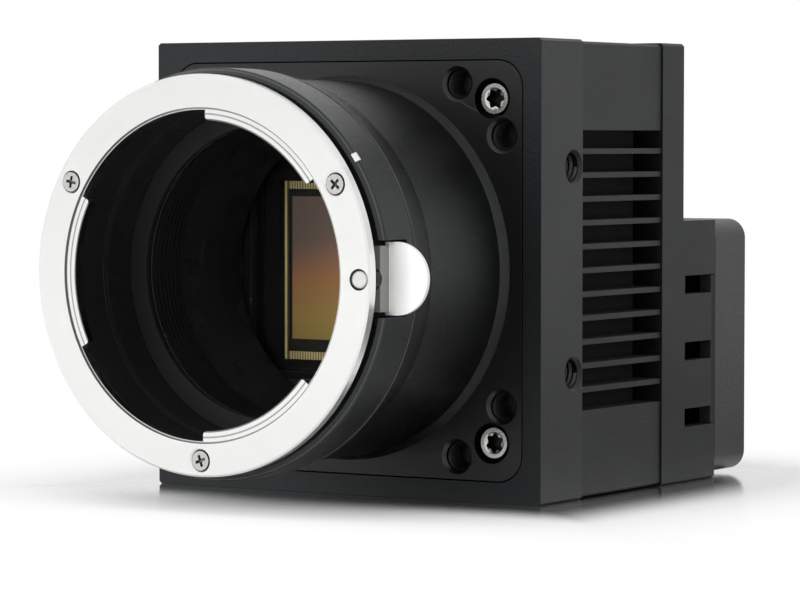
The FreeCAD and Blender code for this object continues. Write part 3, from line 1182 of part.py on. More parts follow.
POWER_FLOOR = f"({COVER_REAR} + power_length - socket_depth)"
power_place = [("power_x", "0", "power_z")]
group("power_shell", socket_shell("power", "power_radius", "power_bore", "2 * power_radius", "power_length",
                                  "socket_depth + 1.5"), power_place)
group("power_nut", connector_nut("power_nut", "power_nut", "power_radius"), power_place)
pins = [(f"pin_ring * cos({360 * number} * 1deg / pin_count)", "0",
         f"pin_ring * sin({360 * number} * 1deg / pin_count)")
        for number in range(round(value("pin_count")))] + [("0", "0", "0")]
pin_insert = round_bar("power_bore - thread_gap", "1.5")
contact = round_bar("contact_pin", "1.5 + pin_length")
for across, _, up in pins:
    hole = contact.copy()
    hole.translate(vector(across, "0", up))
    pin_insert = pin_insert.cut(hole)
group("power_insert", pin_insert, [("power_x", f"{POWER_FLOOR} - 1.5", "power_z")])
group("power_pins", contact,
      [(f"power_x + {across}", f"{POWER_FLOOR} - 1.5", f"power_z + {up}") for across, _, up in pins])

light = new_body("status_led")
turn(light, [("0", INTERFACE_REAR), ("led_radius", INTERFACE_REAR), ("led_radius", COVER_REAR),
             ("led_radius * 0.7", f"{COVER_REAR} + led_proud * 0.75"), ("0", f"{COVER_REAR} + led_proud")])
light.setExpression("Placement.Base.x", bound("led_x"))
light.setExpression("Placement.Base.z", bound("led_z"))

# ---------------------------------------------------------------- fan


def on_fan_axis(body):
    """Moves a piece made about the origin's Y axis to the fan's axis."""
    body.setExpression("Placement.Base.x", bound("fan_x"))
    body.setExpression("Placement.Base.z", bound("fan_z"))


def fan_corners(sketch, radius):
    for sx, sz in ((1, 1), (-1, 1), (-1, -1), (1, -1)):
        circle(sketch, radius, f"{sx} * fan_hole_spacing / 2", f"{sz} * fan_hole_spacing / 2")


# Gasket: soft sheet in the duct's recess, with a tab that fills the recess's open side.
fan_gasket = new_body("fan_gasket")
sketch = new_sketch(fan_gasket, GASKET_PLACE)
inside = "(duct_rim + fit_gap)"
half_fan = "fan_side / 2"
polygon(sketch, [(f"-({half_fan} - {inside})", f"-({half_fan} - {inside})"),
                 (f"{half_fan} - {inside}", f"-({half_fan} - {inside})"),
                 (f"{half_fan} - {inside}", f"{vent_low} - fan_z + fit_gap"),
                 (f"{HALF_BODY} - fan_x - fit_gap", f"{vent_low} - fan_z + fit_gap"),
                 (f"{HALF_BODY} - fan_x - fit_gap", f"{vent_high} - fan_z - fit_gap"),
                 (f"{half_fan} - {inside}", f"{vent_high} - fan_z - fit_gap"),
                 (f"{half_fan} - {inside}", f"{half_fan} - {inside}"),
                 (f"-({half_fan} - {inside})", f"{half_fan} - {inside}")])
circle(sketch, "duct_bore + fit_gap")
fan_corners(sketch, "fan_hole_radius")
pad(fan_gasket, sketch, "gasket_depth")
on_fan_axis(fan_gasket)

# Fan frame: moulded square frame with a motor base on struts at the outlet and a bearing tube.
fan_frame = new_body("fan_frame")
sketch = new_sketch(fan_frame, DUCT_REAR)
rectangle(sketch, "fan_side", "fan_side")
pad(fan_frame, sketch, "fan_thickness")
dress(fan_frame, "Fillet", "fan_corner", along_y)
sketch = new_sketch(fan_frame, DUCT_REAR)
circle(sketch, "fan_bore")
fan_corners(sketch, "fan_hole_radius")
pocket(fan_frame, sketch, "fan_thickness")
sketch = new_sketch(fan_frame, BASE_FRONT)
circle(sketch, "base_radius")
pad(fan_frame, sketch, "base_thickness")
sketch = new_sketch(fan_frame, BASE_FRONT)
rectangle(sketch, "fan_bore - base_radius + 1.5", "strut_width", across="(fan_bore + base_radius) / 2")
strut = pad(fan_frame, sketch, "base_thickness")
repeat(fan_frame, [strut], "strut_count")
bearing_tube_front = f"({HUB_FRONT} + hub_wall + 1)"
sketch = new_sketch(fan_frame, bearing_tube_front)
circle(sketch, "bearing_radius + bearing_wall")
pad(fan_frame, sketch, f"{FAN_REAR} - 0.5 - {bearing_tube_front}")
sketch = new_sketch(fan_frame, bearing_tube_front)
circle(sketch, "bearing_radius")
pocket(fan_frame, sketch, f"{BASE_FRONT} - {bearing_tube_front}")
on_fan_axis(fan_frame)

bearing = new_body("fan_bearing")
sketch = new_sketch(bearing, bearing_tube_front)
circle(sketch, "bearing_radius")
circle(sketch, "shaft_radius + running_gap")
pad(bearing, sketch, f"{BASE_FRONT} - {bearing_tube_front}")
on_fan_axis(bearing)

stator = new_body("fan_stator")
stator_front = f"({bearing_tube_front} + 0.8)"
stator_length = f"({BASE_FRONT} - {stator_front})"
sketch = new_sketch(stator, stator_front)
circle(sketch, "bearing_radius + bearing_wall + 1")
pad(stator, sketch, stator_length)
sketch = new_sketch(stator, stator_front)
rectangle(sketch, "stator_radius - bearing_radius - bearing_wall", "pole_width",
          across="(stator_radius + bearing_radius + bearing_wall) / 2")
pole = pad(stator, sketch, stator_length)
repeat(stator, [pole], "4")
sketch = new_sketch(stator, stator_front)
circle(sketch, "bearing_radius + bearing_wall")
pocket(stator, sketch, stator_length)
on_fan_axis(stator)

shaft = new_body("fan_shaft")
turn(shaft, [("0", f"{HUB_FRONT} + 0.3"), ("shaft_radius", f"{HUB_FRONT} + 0.3"),
             ("shaft_radius", f"{BASE_FRONT} - 0.3"), ("0", f"{BASE_FRONT} - 0.3")])
on_fan_axis(shaft)

magnet = new_body("rotor_magnet")
sketch = new_sketch(magnet, f"{HUB_FRONT} + hub_wall")
circle(sketch, "hub_radius - hub_wall")
circle(sketch, "hub_radius - hub_wall - magnet_wall")
pad(magnet, sketch, f"{HUB_REAR} - {HUB_FRONT} - hub_wall")
on_fan_axis(magnet)

# Rotor: hub cup moulded in one piece with twisted blades, pressed on its shaft.
rotor = new_body("fan_rotor")
turn(rotor, [("0", HUB_FRONT), ("hub_radius - 0.6", HUB_FRONT), ("hub_radius", f"{HUB_FRONT} + 0.6"),
             ("hub_radius", HUB_REAR), ("hub_radius - hub_wall", HUB_REAR),
             ("hub_radius - hub_wall", f"{HUB_FRONT} + hub_wall"), ("shaft_radius * 2", f"{HUB_FRONT} + hub_wall"),
             ("shaft_radius * 2", f"{HUB_FRONT} + hub_wall + 0.7"), ("0", f"{HUB_FRONT} + hub_wall + 0.7")])
blade_middle = f"(({HUB_FRONT} + {HUB_REAR}) / 2)"


def blade_section(depth, pitch, chord):
    """A blade's section in a plane across its radius, turned by its pitch."""
    sketch = new_sketch(rotor, depth, role="YZ_Plane")
    points = []
    for along, thick in ((-0.5, 0), (-0.15, 0.5), (0.5, 0.12), (0.5, -0.12), (-0.15, -0.2)):
        a, t = f"({along} * {chord})", f"({thick} * blade_sheet)"
        points.append((f"{blade_middle} + {a} * sin({pitch} * 1deg) + {t} * cos({pitch} * 1deg)",
                       f"{a} * cos({pitch} * 1deg) - {t} * sin({pitch} * 1deg)"))
    polygon(sketch, points)
    return sketch


blade = rotor.newObject("PartDesign::AdditiveLoft", "fan_rotor_blade")
blade.Profile = blade_section("hub_radius - hub_wall * 0.6", "root_pitch", "blade_chord * 0.72")
blade.Sections = [blade_section("blade_tip", "tip_pitch", "blade_chord")]
blade.Ruled = True
repeat(rotor, [blade], "blade_count")
sketch = new_sketch(rotor, f"{HUB_FRONT} + hub_wall")
circle(sketch, "hub_radius - hub_wall")
circle(sketch, "shaft_radius * 2")
pocket(rotor, sketch, f"{HUB_REAR} - {HUB_FRONT} - hub_wall")
sketch = new_sketch(rotor, f"{HUB_FRONT} + 0.3")
circle(sketch, "shaft_radius")
pocket(rotor, sketch, "hub_wall + 1")
on_fan_axis(rotor)

fan_screw_length = f"({FAN_REAR} - {GASKET_PLACE} + fan_screw_grip)"
short_screw = turned_round(screw("fan_screw", "fan_head_radius", "fan_head_height", "fan_screw_radius",
                                 fan_screw_length))
long_screw = turned_round(screw("long_fan_screw", "fan_head_radius", "fan_head_height", "fan_screw_radius",
                                f"{FAN_REAR} - {HOUSING_REAR} + case_screw_grip"))
fan_screws = doc.addObject("Part::Feature", "fan_screws")
fan_screws.Label = "fan_screws"
copies = []
for (across, up), shape in zip(fan_holes, (short_screw, short_screw, short_screw, long_screw)):
    copy = shape.copy()
    copy.translate(vector(across, FAN_REAR, up))
    copies.append(copy)
fan_screws.Shape = Part.makeCompound(copies)
nodes.append(fan_screws)

# ---------------------------------------------------------------- check and write

doc.recompute()
for item in doc.Objects:
    if {"Invalid", "Error"} & set(item.State):
        raise RuntimeError(f"{item.Label} failed: {item.State}")
os.makedirs("parts", exist_ok=True)
for node in nodes:
    shape = node.Shape
    if shape.isNull() or not shape.isValid() or not shape.Solids:
        raise RuntimeError(f"{node.Label} has no valid solid")
    shape.exportStep(f"parts/{node.Label}.step")
    print(f"{node.Label:22} {len(shape.Solids)} solid(s) {shape.Volume:10.1f} mm3")
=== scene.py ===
"""Machine vision camera: a square finned case with a long bayonet lens mount and a cooling fan at the rear.

The pieces are made in the order in which the real camera goes together.
"""

import json
import math

import bmesh
import bpy
from mathutils import Matrix, Vector


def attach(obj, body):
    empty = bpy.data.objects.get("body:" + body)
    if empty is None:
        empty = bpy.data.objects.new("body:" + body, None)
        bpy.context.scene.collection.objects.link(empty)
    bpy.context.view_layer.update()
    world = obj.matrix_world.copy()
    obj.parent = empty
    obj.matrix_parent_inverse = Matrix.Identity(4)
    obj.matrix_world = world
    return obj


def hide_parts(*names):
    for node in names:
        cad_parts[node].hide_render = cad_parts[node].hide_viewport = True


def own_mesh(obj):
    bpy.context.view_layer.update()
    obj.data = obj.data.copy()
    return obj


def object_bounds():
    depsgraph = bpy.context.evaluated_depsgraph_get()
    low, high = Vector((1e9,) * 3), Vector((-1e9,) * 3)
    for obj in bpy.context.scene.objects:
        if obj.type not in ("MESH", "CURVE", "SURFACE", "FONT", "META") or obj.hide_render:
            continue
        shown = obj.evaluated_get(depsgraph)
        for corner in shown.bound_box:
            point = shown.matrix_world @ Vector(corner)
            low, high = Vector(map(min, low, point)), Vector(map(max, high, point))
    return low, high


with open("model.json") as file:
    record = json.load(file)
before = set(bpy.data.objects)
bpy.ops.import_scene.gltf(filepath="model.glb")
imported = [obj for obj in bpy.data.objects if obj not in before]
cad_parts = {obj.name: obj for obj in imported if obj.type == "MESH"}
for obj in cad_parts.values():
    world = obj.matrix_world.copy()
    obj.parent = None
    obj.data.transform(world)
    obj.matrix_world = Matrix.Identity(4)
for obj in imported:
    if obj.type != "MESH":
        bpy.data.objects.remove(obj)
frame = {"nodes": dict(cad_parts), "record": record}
cad_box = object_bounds()

# ---------------------------------------------------------------- camera
# A long lens stands half a metre away, to the right of the optical axis and a little above it. It sees the
# open front of the mount and the right side of the case.

camera_place = (0.3021, -0.4305, 0.0196)
turn_right, look_down, roll = math.radians(31.97), math.radians(2.507), math.radians(0.043)
look = Vector((-math.sin(turn_right) * math.cos(look_down), math.cos(turn_right) * math.cos(look_down),
               -math.sin(look_down)))
lens = bpy.data.cameras.new("camera")
lens.sensor_width = 36.0
lens.lens = 167.54
lens.clip_start = 0.01
lens.clip_end = 20.0
camera = bpy.data.objects.new("camera", lens)
camera.matrix_world = (Matrix.Translation(camera_place)
                       @ look.to_track_quat("-Z", "Y").to_matrix().to_4x4() @ Matrix.Rotation(roll, 4, "Z"))
bpy.context.scene.collection.objects.link(camera)
bpy.context.scene.camera = camera
bpy.context.scene.view_settings.view_transform = "Standard"

# ---------------------------------------------------------------- lamps and white surroundings
# Three soft boxes above, beside and in front. The white paper round the object shows in its glossy and clear
# pieces, and a softer grey-white sky lights its dull ones.

WHITE = (1, 1, 1, 1)


def softbox(name, place, target, width, height, power):
    """A rectangular lamp at a place, facing a target, which doesn't show in glossy pieces."""
    lamp = bpy.data.lights.new(name, "AREA")
    lamp.shape = "RECTANGLE"
    lamp.size = width
    lamp.size_y = height
    lamp.energy = power
    holder = bpy.data.objects.new(name, lamp)
    holder.matrix_world = (Matrix.Translation(place)
                           @ (Vector(target) - Vector(place)).to_track_quat("-Z", "Z").to_matrix().to_4x4())
    holder.visible_glossy = False
    bpy.context.scene.collection.objects.link(holder)


def joined(tree, value, socket):
    """Links a node's output to a socket, or sets a plain value on it."""
    if isinstance(value, bpy.types.NodeSocket):
        tree.links.new(value, socket)
    else:
        socket.default_value = value


def added(tree, kind, *values, operation=None, **named):
    """A new node's outputs. Its sockets take values or other nodes' outputs, in their order or by name."""
    node = tree.nodes.new(f"ShaderNode{kind}")
    if operation:
        node.operation = operation
    for value, socket in zip(values, node.inputs):
        joined(tree, value, socket)
    for name, value in named.items():
        joined(tree, value, node.inputs[name])
    return node.outputs


def sums(tree, operation, *values, clamp=False):
    """The result of a maths node."""
    result = added(tree, "Math", *values, operation=operation)[0]
    result.node.use_clamp = clamp
    return result


def ranged(tree, value, start, end, low=0.0, high=1.0, smooth=False):
    """A value carried from the range start to end over to the range low to high, and held at its ends."""
    result = added(tree, "MapRange", value, start, end, low, high)["Result"]
    if smooth:
        result.node.interpolation_type = "SMOOTHSTEP"
    return result


softbox("overhead", (-0.1, -0.1, 0.9), (0, 0.04, 0), 0.9, 0.9, 3.6)
softbox("side", (1.0, 0.1, 0.45), (0, 0.04, 0), 0.7, 0.7, 1.2)
softbox("front", (-0.25, -1.0, 0.16), (0, 0.02, 0), 0.8, 0.5, 6.2)

world = bpy.data.worlds.new("studio")
bpy.context.scene.world = world
world.use_nodes = True
tree = world.node_tree
tree.nodes.clear()
path = added(tree, "LightPath")
way = added(tree, "SeparateXYZ", added(tree, "TexCoord")["Generated"])
sky = ranged(tree, way["Z"], -0.3, 0.9, 0.32, 0.66)

# Glossy pieces see paper that is brightest in front of the object and overhead.
behind = ranged(tree, way["Y"], -0.5, 0.9, 0.93, 0.55)
high = ranged(tree, way["Z"], 0.1, 0.55, 0.0, 0.36)
mirrored = sums(tree, "MULTIPLY", path["Is Glossy Ray"], sums(tree, "ADD", behind, high, clamp=True))
seen = sums(tree, "MAXIMUM", path["Is Camera Ray"], path["Is Transmission Ray"])
dull = added(tree, "Background", Color=WHITE, Strength=sky)[0]
paper = added(tree, "Background", Color=WHITE)[0]
both = added(tree, "MixShader", sums(tree, "MAXIMUM", seen, mirrored), dull, paper)[0]
added(tree, "OutputWorld", Surface=both)

# ---------------------------------------------------------------- floor
# A sheet of white acrylic under the case. It takes a soft shadow and a faint reflection, and runs out into
# the white paper behind.

MM = 0.001
floor_level = cad_box[0][2] - 0.02 * MM
shadow_middle = (0.085, 0.115, floor_level)
case_half_width, case_middle, case_half_length = -cad_box[0][0], 70.5 * MM, 32.8 * MM
shade_start, shade_end = 50.0 * MM, 140.0 * MM
mirror_start, mirror_faint, mirror_end = 4.0 * MM, 20.0 * MM, 90.0 * MM
fade_start, fade_end = 8.0 * MM, 50.0 * MM
bm = bmesh.new()
bmesh.ops.create_grid(bm, x_segments=1, y_segments=1, size=6.0)
bmesh.ops.translate(bm, verts=bm.verts, vec=(0, 0, floor_level))
mesh = bpy.data.meshes.new("floor")
bm.to_mesh(mesh)
bm.free()
floor = bpy.data.objects.new("floor", mesh)
bpy.context.scene.collection.objects.link(floor)
acrylic = bpy.data.materials.new("white_acrylic")
acrylic.use_nodes = True
tree = acrylic.node_tree
tree.nodes.clear()
path = added(tree, "LightPath")
place = added(tree, "TexCoord")["Object"]
spot = added(tree, "SeparateXYZ", place)

# How far a spot lies outside the case's outline, seen from above.
gaps = []
for along, middle, half in ((spot["X"], 0.0, case_half_width), (spot["Y"], case_middle, case_half_length)):
    gaps.append(sums(tree, "SUBTRACT", sums(tree, "ABSOLUTE", sums(tree, "SUBTRACT", along, middle)), half))
clear = sums(tree, "MAXIMUM", *gaps)

# Where the case sees it, the sheet is painted darker near the case, as painted shade in what it bounces
# and mirrors. It mirrors most under the case and close to its edge.
distance = added(tree, "VectorMath", place, shadow_middle, operation="DISTANCE")["Value"]
shade_near_case = ranged(tree, distance, shade_start, shade_end, 0.22, 1.0)
tint = ranged(tree, path["Is Camera Ray"], 0.0, 1.0, shade_near_case, 1.04)
matt = added(tree, "BsdfDiffuse", Color=added(tree, "CombineXYZ", tint, tint, tint)[0])[0]
shine = added(tree, "BsdfGlossy", Color=WHITE, Roughness=0.12)[0]
close = ranged(tree, clear, mirror_start, mirror_faint, 0.98, 0.09, smooth=True)
wide = ranged(tree, clear, mirror_faint, mirror_end, 1.0, 0.0)
sheet = added(tree, "MixShader", sums(tree, "MULTIPLY", close, wide), matt, shine)[0]

# Away from the case the sheet fades into the white paper.
fade = ranged(tree, clear, fade_start, fade_end, smooth=True)
far = sums(tree, "MULTIPLY", fade, path["Is Camera Ray"])
glow = added(tree, "Emission", Color=WHITE)[0]
added(tree, "OutputMaterial", Surface=added(tree, "MixShader", far, sheet, glow)[0])
floor.data.materials.append(acrylic)

# ---------------------------------------------------------------- front frame
# A square ring milled from aluminium, bead blasted and anodised black, with its edges broken by hand.
# Four countersunk screws hold it to the middle housing, and each side has two tapped M5 holes.

ROUGHNESS_SPREAD = 0.12
COOL = (0.93, 0.975, 1.0, 1.0)
BODY_OF = {node: body for body, names in frame["record"]["behaviour"]["bodies"].items() for node in names}


def grain_group():
    """A blasted surface: a speckle for colour, an uneven roughness and a fine bump."""
    group = bpy.data.node_groups.new("blasted_grain", "ShaderNodeTree")
    face = group.interface
    face.new_socket("Color", in_out="INPUT", socket_type="NodeSocketColor")
    for name in ("Speckle", "Roughness", "Grain", "Depth"):
        face.new_socket(name, in_out="INPUT", socket_type="NodeSocketFloat")
    face.new_socket("Color", in_out="OUTPUT", socket_type="NodeSocketColor")
    face.new_socket("Roughness", in_out="OUTPUT", socket_type="NodeSocketFloat")
    face.new_socket("Normal", in_out="OUTPUT", socket_type="NodeSocketVector")
    given = group.nodes.new("NodeGroupInput").outputs
    made = group.nodes.new("NodeGroupOutput").inputs
    place = added(group, "TexCoord")["Object"]
    fine = added(group, "TexNoise", Vector=place, Scale=given["Grain"], Detail=3.0, Roughness=0.6)["Fac"]
    broad = added(group, "TexNoise", Vector=place, Scale=90.0, Detail=2.0)["Fac"]
    spots = ranged(group, fine, 0.35, 0.72, -0.5, 0.5)
    amount = sums(group, "MULTIPLY_ADD", spots, given["Speckle"], 1.0)
    tint = added(group, "VectorMath", given["Color"], operation="SCALE", Scale=amount)[0]
    haze = sums(group, "MULTIPLY_ADD", broad, ROUGHNESS_SPREAD, given["Roughness"])
    bump = added(group, "Bump", Distance=0.13 * MM, Height=fine, Strength=given["Depth"])[0]
    for result, socket in ((tint, "Color"), (haze, "Roughness"), (bump, "Normal")):
        group.links.new(result, made[socket])
    return group


blasted_grain = grain_group()


def grained(name, colour, roughness, grain=4500.0, speckle=0.35, depth=0.5, **constants):
    """A material with the blasted grain; constants are set on the shader's own sockets."""
    material = bpy.data.materials.new(name)
    material.use_nodes = True
    tree = material.node_tree
    shader = tree.nodes["Principled BSDF"]
    surface = tree.nodes.new("ShaderNodeGroup")
    surface.node_tree = blasted_grain
    surface.inputs["Color"].default_value = (*colour, 1)
    surface.inputs["Speckle"].default_value = speckle
    surface.inputs["Roughness"].default_value = roughness - ROUGHNESS_SPREAD / 2
    surface.inputs["Grain"].default_value = grain
    surface.inputs["Depth"].default_value = depth
    tree.links.new(surface.outputs["Color"], shader.inputs["Base Color"])
    tree.links.new(surface.outputs["Roughness"], shader.inputs["Roughness"])
    tree.links.new(surface.outputs["Normal"], shader.inputs["Normal"])
    for socket, value in constants.items():
        shader.inputs[socket.replace("_", " ")].default_value = value
    return material


def piece_from(bm, name, material, node, *replaced, angle=28.0):
    """An object from a bmesh, which rides with a node's body and takes the given material, and may replace
    nodes.
    """
    least_bend = math.radians(0.4)
    for face in bm.faces:
        bends = [edge.calc_face_angle(0.0) for edge in face.edges]
        face.smooth = any(least_bend < bend < math.radians(angle) for bend in bends)
    mesh = bpy.data.meshes.new(name)
    bm.to_mesh(mesh)
    bm.free()
    mesh.materials.append(material)
    mesh.set_sharp_from_angle(angle=math.radians(angle))
    piece = bpy.data.objects.new(name, mesh)
    bpy.context.scene.collection.objects.link(piece)
    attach(piece, BODY_OF[node])
    if replaced:
        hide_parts(*replaced)
    return piece


def broken_edges(piece, width, segments=2, angle=28.0):
    """Rounds a piece's sharp edges a little and keeps its flat faces flat."""
    bevel = piece.modifiers.new("broken_edges", "BEVEL")
    bevel.width = width
    bevel.segments = segments
    bevel.limit_method = "ANGLE"
    bevel.angle_limit = math.radians(angle)
    flat = piece.modifiers.new("flat_faces", "WEIGHTED_NORMAL")
    flat.weight = 100
    flat.keep_sharp = True


def merged(node):
    """A CAD node's mesh as one skin, with each flat face in one piece."""
    bm = bmesh.new()
    bm.from_mesh(frame["nodes"][node].data)
    bmesh.ops.remove_doubles(bm, verts=bm.verts, dist=0.0005 * MM)
    bmesh.ops.dissolve_limit(bm, angle_limit=math.radians(0.3), verts=bm.verts, edges=bm.edges,
                             use_dissolve_boundaries=False, delimit=set())
    return bm


def finished(node, material, edge=0.0, angle=28.0):
    """A merged copy of a CAD node with its sharp edges broken, which stands for the node."""
    piece = piece_from(merged(node), f"{node}_finished", material, node, node, angle=angle)
    if edge:
        broken_edges(piece, edge, angle=angle)


def verts_of(result):
    """The vertices that an operator made."""
    return [item for item in result["geom"] if isinstance(item, bmesh.types.BMVert)]


def placed(bm, verts, matrix):
    """Moves vertices by a matrix."""
    bmesh.ops.transform(bm, matrix=matrix, space=Matrix.Identity(4), verts=verts)


def tapped(name, holes, crest, root, pitch, turns, material, node, steps=28):
    """Threads in or on round pieces: one V is swept round and along +Y, then copied to each place."""
    flank_end, next_flank = 0.45 * pitch, 0.6 * pitch
    bm = bmesh.new()
    edge = [bm.verts.new((root, 0, 0)), bm.verts.new((crest, flank_end, 0)),
            bm.verts.new((crest, next_flank, 0)), bm.verts.new((root, pitch, 0))]
    strip = edge + [bm.edges.new(pair) for pair in zip(edge, edge[1:])]
    bmesh.ops.spin(bm, geom=strip, cent=(0, 0, 0), axis=(0, 1, 0), dvec=(0, pitch / steps, 0),
                   angle=2 * math.pi * turns, steps=steps * turns, use_merge=False, use_duplicate=False)
    bmesh.ops.remove_doubles(bm, verts=bm.verts, dist=0.002 * MM)
    bm.normal_update()
    middle = bm.faces[:][0].calc_center_median()
    if bm.faces[:][0].normal.dot(Vector((middle.x, 0, middle.z))) * (crest - root) < 0:
        bmesh.ops.reverse_faces(bm, faces=bm.faces)
    master = bm.faces[:] + bm.edges[:] + bm.verts[:]
    for hole in holes[1:]:
        placed(bm, verts_of(bmesh.ops.duplicate(bm, geom=master)), holes[0].inverted() @ hole)
    placed(bm, bm.verts, holes[0])
    return piece_from(bm, name, material, node)


frame_black = grained("frame_black", (0.0034, 0.0036, 0.004), 0.36, depth=0.6, Specular_IOR_Level=0.45,
                      Specular_Tint=COOL)
finished("front_frame", frame_black, 0.12 * MM)
countersunk_black = grained("blackened_screws", (0.012, 0.012, 0.013), 0.4, Metallic=0.3)
finished("frame_screws", countersunk_black, 0.06 * MM)

# The threads stand just inside the plain bores of the nodes.
front_face, hole_row, hole_spread, thread_start = 37.65 * MM, 47.25 * MM, 15.2 * MM, 0.6 * MM
thread_crest, thread_root, thread_pitch = 1.84 * MM, 2.07 * MM, 0.8 * MM
tap_black = grained("tapped_black", (0.01, 0.01, 0.011), 0.3, Specular_IOR_Level=0.6)
side_holes = []
for quarter in range(4):
    for up in (hole_spread, -hole_spread):
        side_holes.append(Matrix.Rotation(quarter * math.pi / 2, 4, "Y")
                          @ Matrix.Translation((case_half_width - thread_start, hole_row, up))
                          @ Matrix.Rotation(math.pi / 2, 4, "Z"))
tapped("side_threads", side_holes, thread_crest, thread_root, thread_pitch, 6, tap_black, "front_frame")

# ---------------------------------------------------------------- filter glass and its retainer
# A clear filter lies on a rubber gasket behind the face plate. A blackened aluminium retainer and four small
# screws press it home.


def clear_glass(name, colour, index):
    """Glass that lets the light of the lamps through to what lies behind it."""
    material = bpy.data.materials.new(name)
    material.use_nodes = True
    tree = material.node_tree
    shader = tree.nodes["Principled BSDF"]
    shader.inputs["Base Color"].default_value = (*colour, 1)
    shader.inputs["Roughness"].default_value = 0.01
    shader.inputs["Transmission Weight"].default_value = 1.0
    shader.inputs["IOR"].default_value = index
    path = added(tree, "LightPath")
    through = sums(tree, "MAXIMUM", path["Is Shadow Ray"], path["Is Diffuse Ray"])
    open_way = added(tree, "BsdfTransparent", Color=(*colour, 1))[0]
    both = added(tree, "MixShader", through, shader.outputs[0], open_way)[0]
    tree.links.new(both, tree.nodes["Material Output"].inputs["Surface"])
    return material


finished("filter_glass", clear_glass("filter_glass", (0.97, 1.0, 0.985), 1.2))
gasket_rubber = grained("gasket_rubber", (0.012, 0.012, 0.012), 0.7, grain=3000.0)
finished("filter_gasket", gasket_rubber)
inner_black = grained("inner_black", (0.019, 0.019, 0.0195), 0.5)
finished("filter_retainer", inner_black, 0.08 * MM)
finished("retainer_screws", countersunk_black, 0.05 * MM)

# ---------------------------------------------------------------- image sensor
# The sensor is a silicon chip with colour filters in a ceramic package, framed by rows of gold bond pads
# under a glass lid. It is soldered to its own small board, and a soft pad takes its heat to the housing.


def within(tree, **limits):
    """A mask that is one between the limits of each named Object axis, or of R, out from the mount's axis."""
    place = added(tree, "TexCoord")["Object"]
    part = added(tree, "SeparateXYZ", place)
    flat = added(tree, "VectorMath", place, (1, 0, 1), operation="MULTIPLY")["Vector"]
    out_from_axis = added(tree, "VectorMath", flat, operation="LENGTH")["Value"]
    values = {"X": part["X"], "Y": part["Y"], "Z": part["Z"], "R": out_from_axis}
    mask = None
    for axis, (low, high) in limits.items():
        test = sums(tree, "COMPARE", values[axis], (low + high) / 2, (high - low) / 2)
        mask = sums(tree, "MULTIPLY", mask, test) if mask else test
    return mask


def blended(tree, mask, colour, other):
    """A colour, and another where the mask is one."""
    mix = tree.nodes.new("ShaderNodeMix")
    mix.data_type = "RGBA"
    share, first, second = mix.inputs[0], mix.inputs[6], mix.inputs[7]
    for value, socket in ((mask, share), (colour, first), (other, second)):
        joined(tree, value, socket)
    return mix.outputs[2]


def repainted(material, mask, colour, roughness=None):
    """Gives the masked part of a material another colour, and a rougher skin where one is named."""
    tree = material.node_tree
    skin = next(item for item in tree.nodes if item.type == "GROUP").inputs
    before = skin["Color"].links[0].from_socket if skin["Color"].is_linked else skin["Color"].default_value
    tree.links.new(blended(tree, mask, before, colour), skin["Color"])
    if roughness is not None:
        tree.links.new(ranged(tree, mask, 0.0, 1.0, skin["Roughness"].default_value, roughness),
                       skin["Roughness"])
    return material


def shy(material):
    """Darkens a bright inner piece for bounced light, so that it doesn't tint the black walls round it."""
    tree = material.node_tree
    path = added(tree, "LightPath")
    bounces = sums(tree, "ADD", path["Diffuse Depth"], path["Glossy Depth"], clamp=True)
    return repainted(material, bounces, (0.03, 0.03, 0.03, 1))


# The film over the chip's active area runs from gold at the bottom over orange to brown at the top.
glow_low, glow_high, half_active = -11.4 * MM, 10.5 * MM, 14.9 * MM
film_colours = ((0.12, (0.46, 0.3, 0.095, 1)), (0.4, (0.56, 0.34, 0.11, 1)), (0.66, (0.58, 0.25, 0.12, 1)),
                (0.8, (0.4, 0.2, 0.15, 1)), (0.893, (0.27, 0.18, 0.155, 1)))
silicon = grained("micro_lenses", (0.012, 0.009, 0.006), 0.32, grain=9000.0, speckle=0.12, depth=0.1)
tree = silicon.node_tree
place = added(tree, "TexCoord")["Object"]
part = added(tree, "SeparateXYZ", place)
drift = added(tree, "TexNoise", Vector=place, Scale=45.0, Detail=1.0)["Fac"]
lean = sums(tree, "MULTIPLY_ADD", part["X"], -9.0, ranged(tree, part["Z"], glow_low, glow_high))
film = tree.nodes.new("ShaderNodeValToRGB")
tree.links.new(sums(tree, "MULTIPLY_ADD", drift, 0.3, lean), film.inputs["Fac"])
stops = film.color_ramp.elements
stops.remove(stops[1])
stops[0].position, stops[0].color = film_colours[0]
for position, colour in film_colours[1:]:
    stops.new(position).color = colour
active = within(tree, X=(-half_active, half_active), Z=(glow_low, glow_high))
finished("sensor_die", shy(repainted(silicon, active, film.outputs["Color"])))

# Gold pads stand in a row across the frame, with darker gaps between them and a plain gold rim at each end.
pad_half_pitch, pad_gap, pad_edge = 0.24 * MM, 0.05 * MM, 0.11 * MM
bond_end = max(vert.co.x for vert in frame["nodes"]["sensor_bond_frame"].data.vertices)
pad_row_end, rim_width = 15.5 * MM, 0.42 * MM
bond_gold = grained("bond_gold", (0.13, 0.09, 0.04), 0.35, grain=9000.0, speckle=0.5, Metallic=0.35)
tree = bond_gold.node_tree
across = added(tree, "SeparateXYZ", added(tree, "TexCoord")["Object"])["X"]
pads = ranged(tree, sums(tree, "PINGPONG", across, pad_half_pitch), pad_gap, pad_edge)
away = sums(tree, "ABSOLUTE", across)
rim = sums(tree, "GREATER_THAN", away, bond_end - rim_width)
between = sums(tree, "LESS_THAN", away, pad_row_end)
shown = sums(tree, "MULTIPLY_ADD", pads, between, rim)
finished("sensor_bond_frame", shy(repainted(bond_gold, shown, (0.92, 0.7, 0.34, 1))))

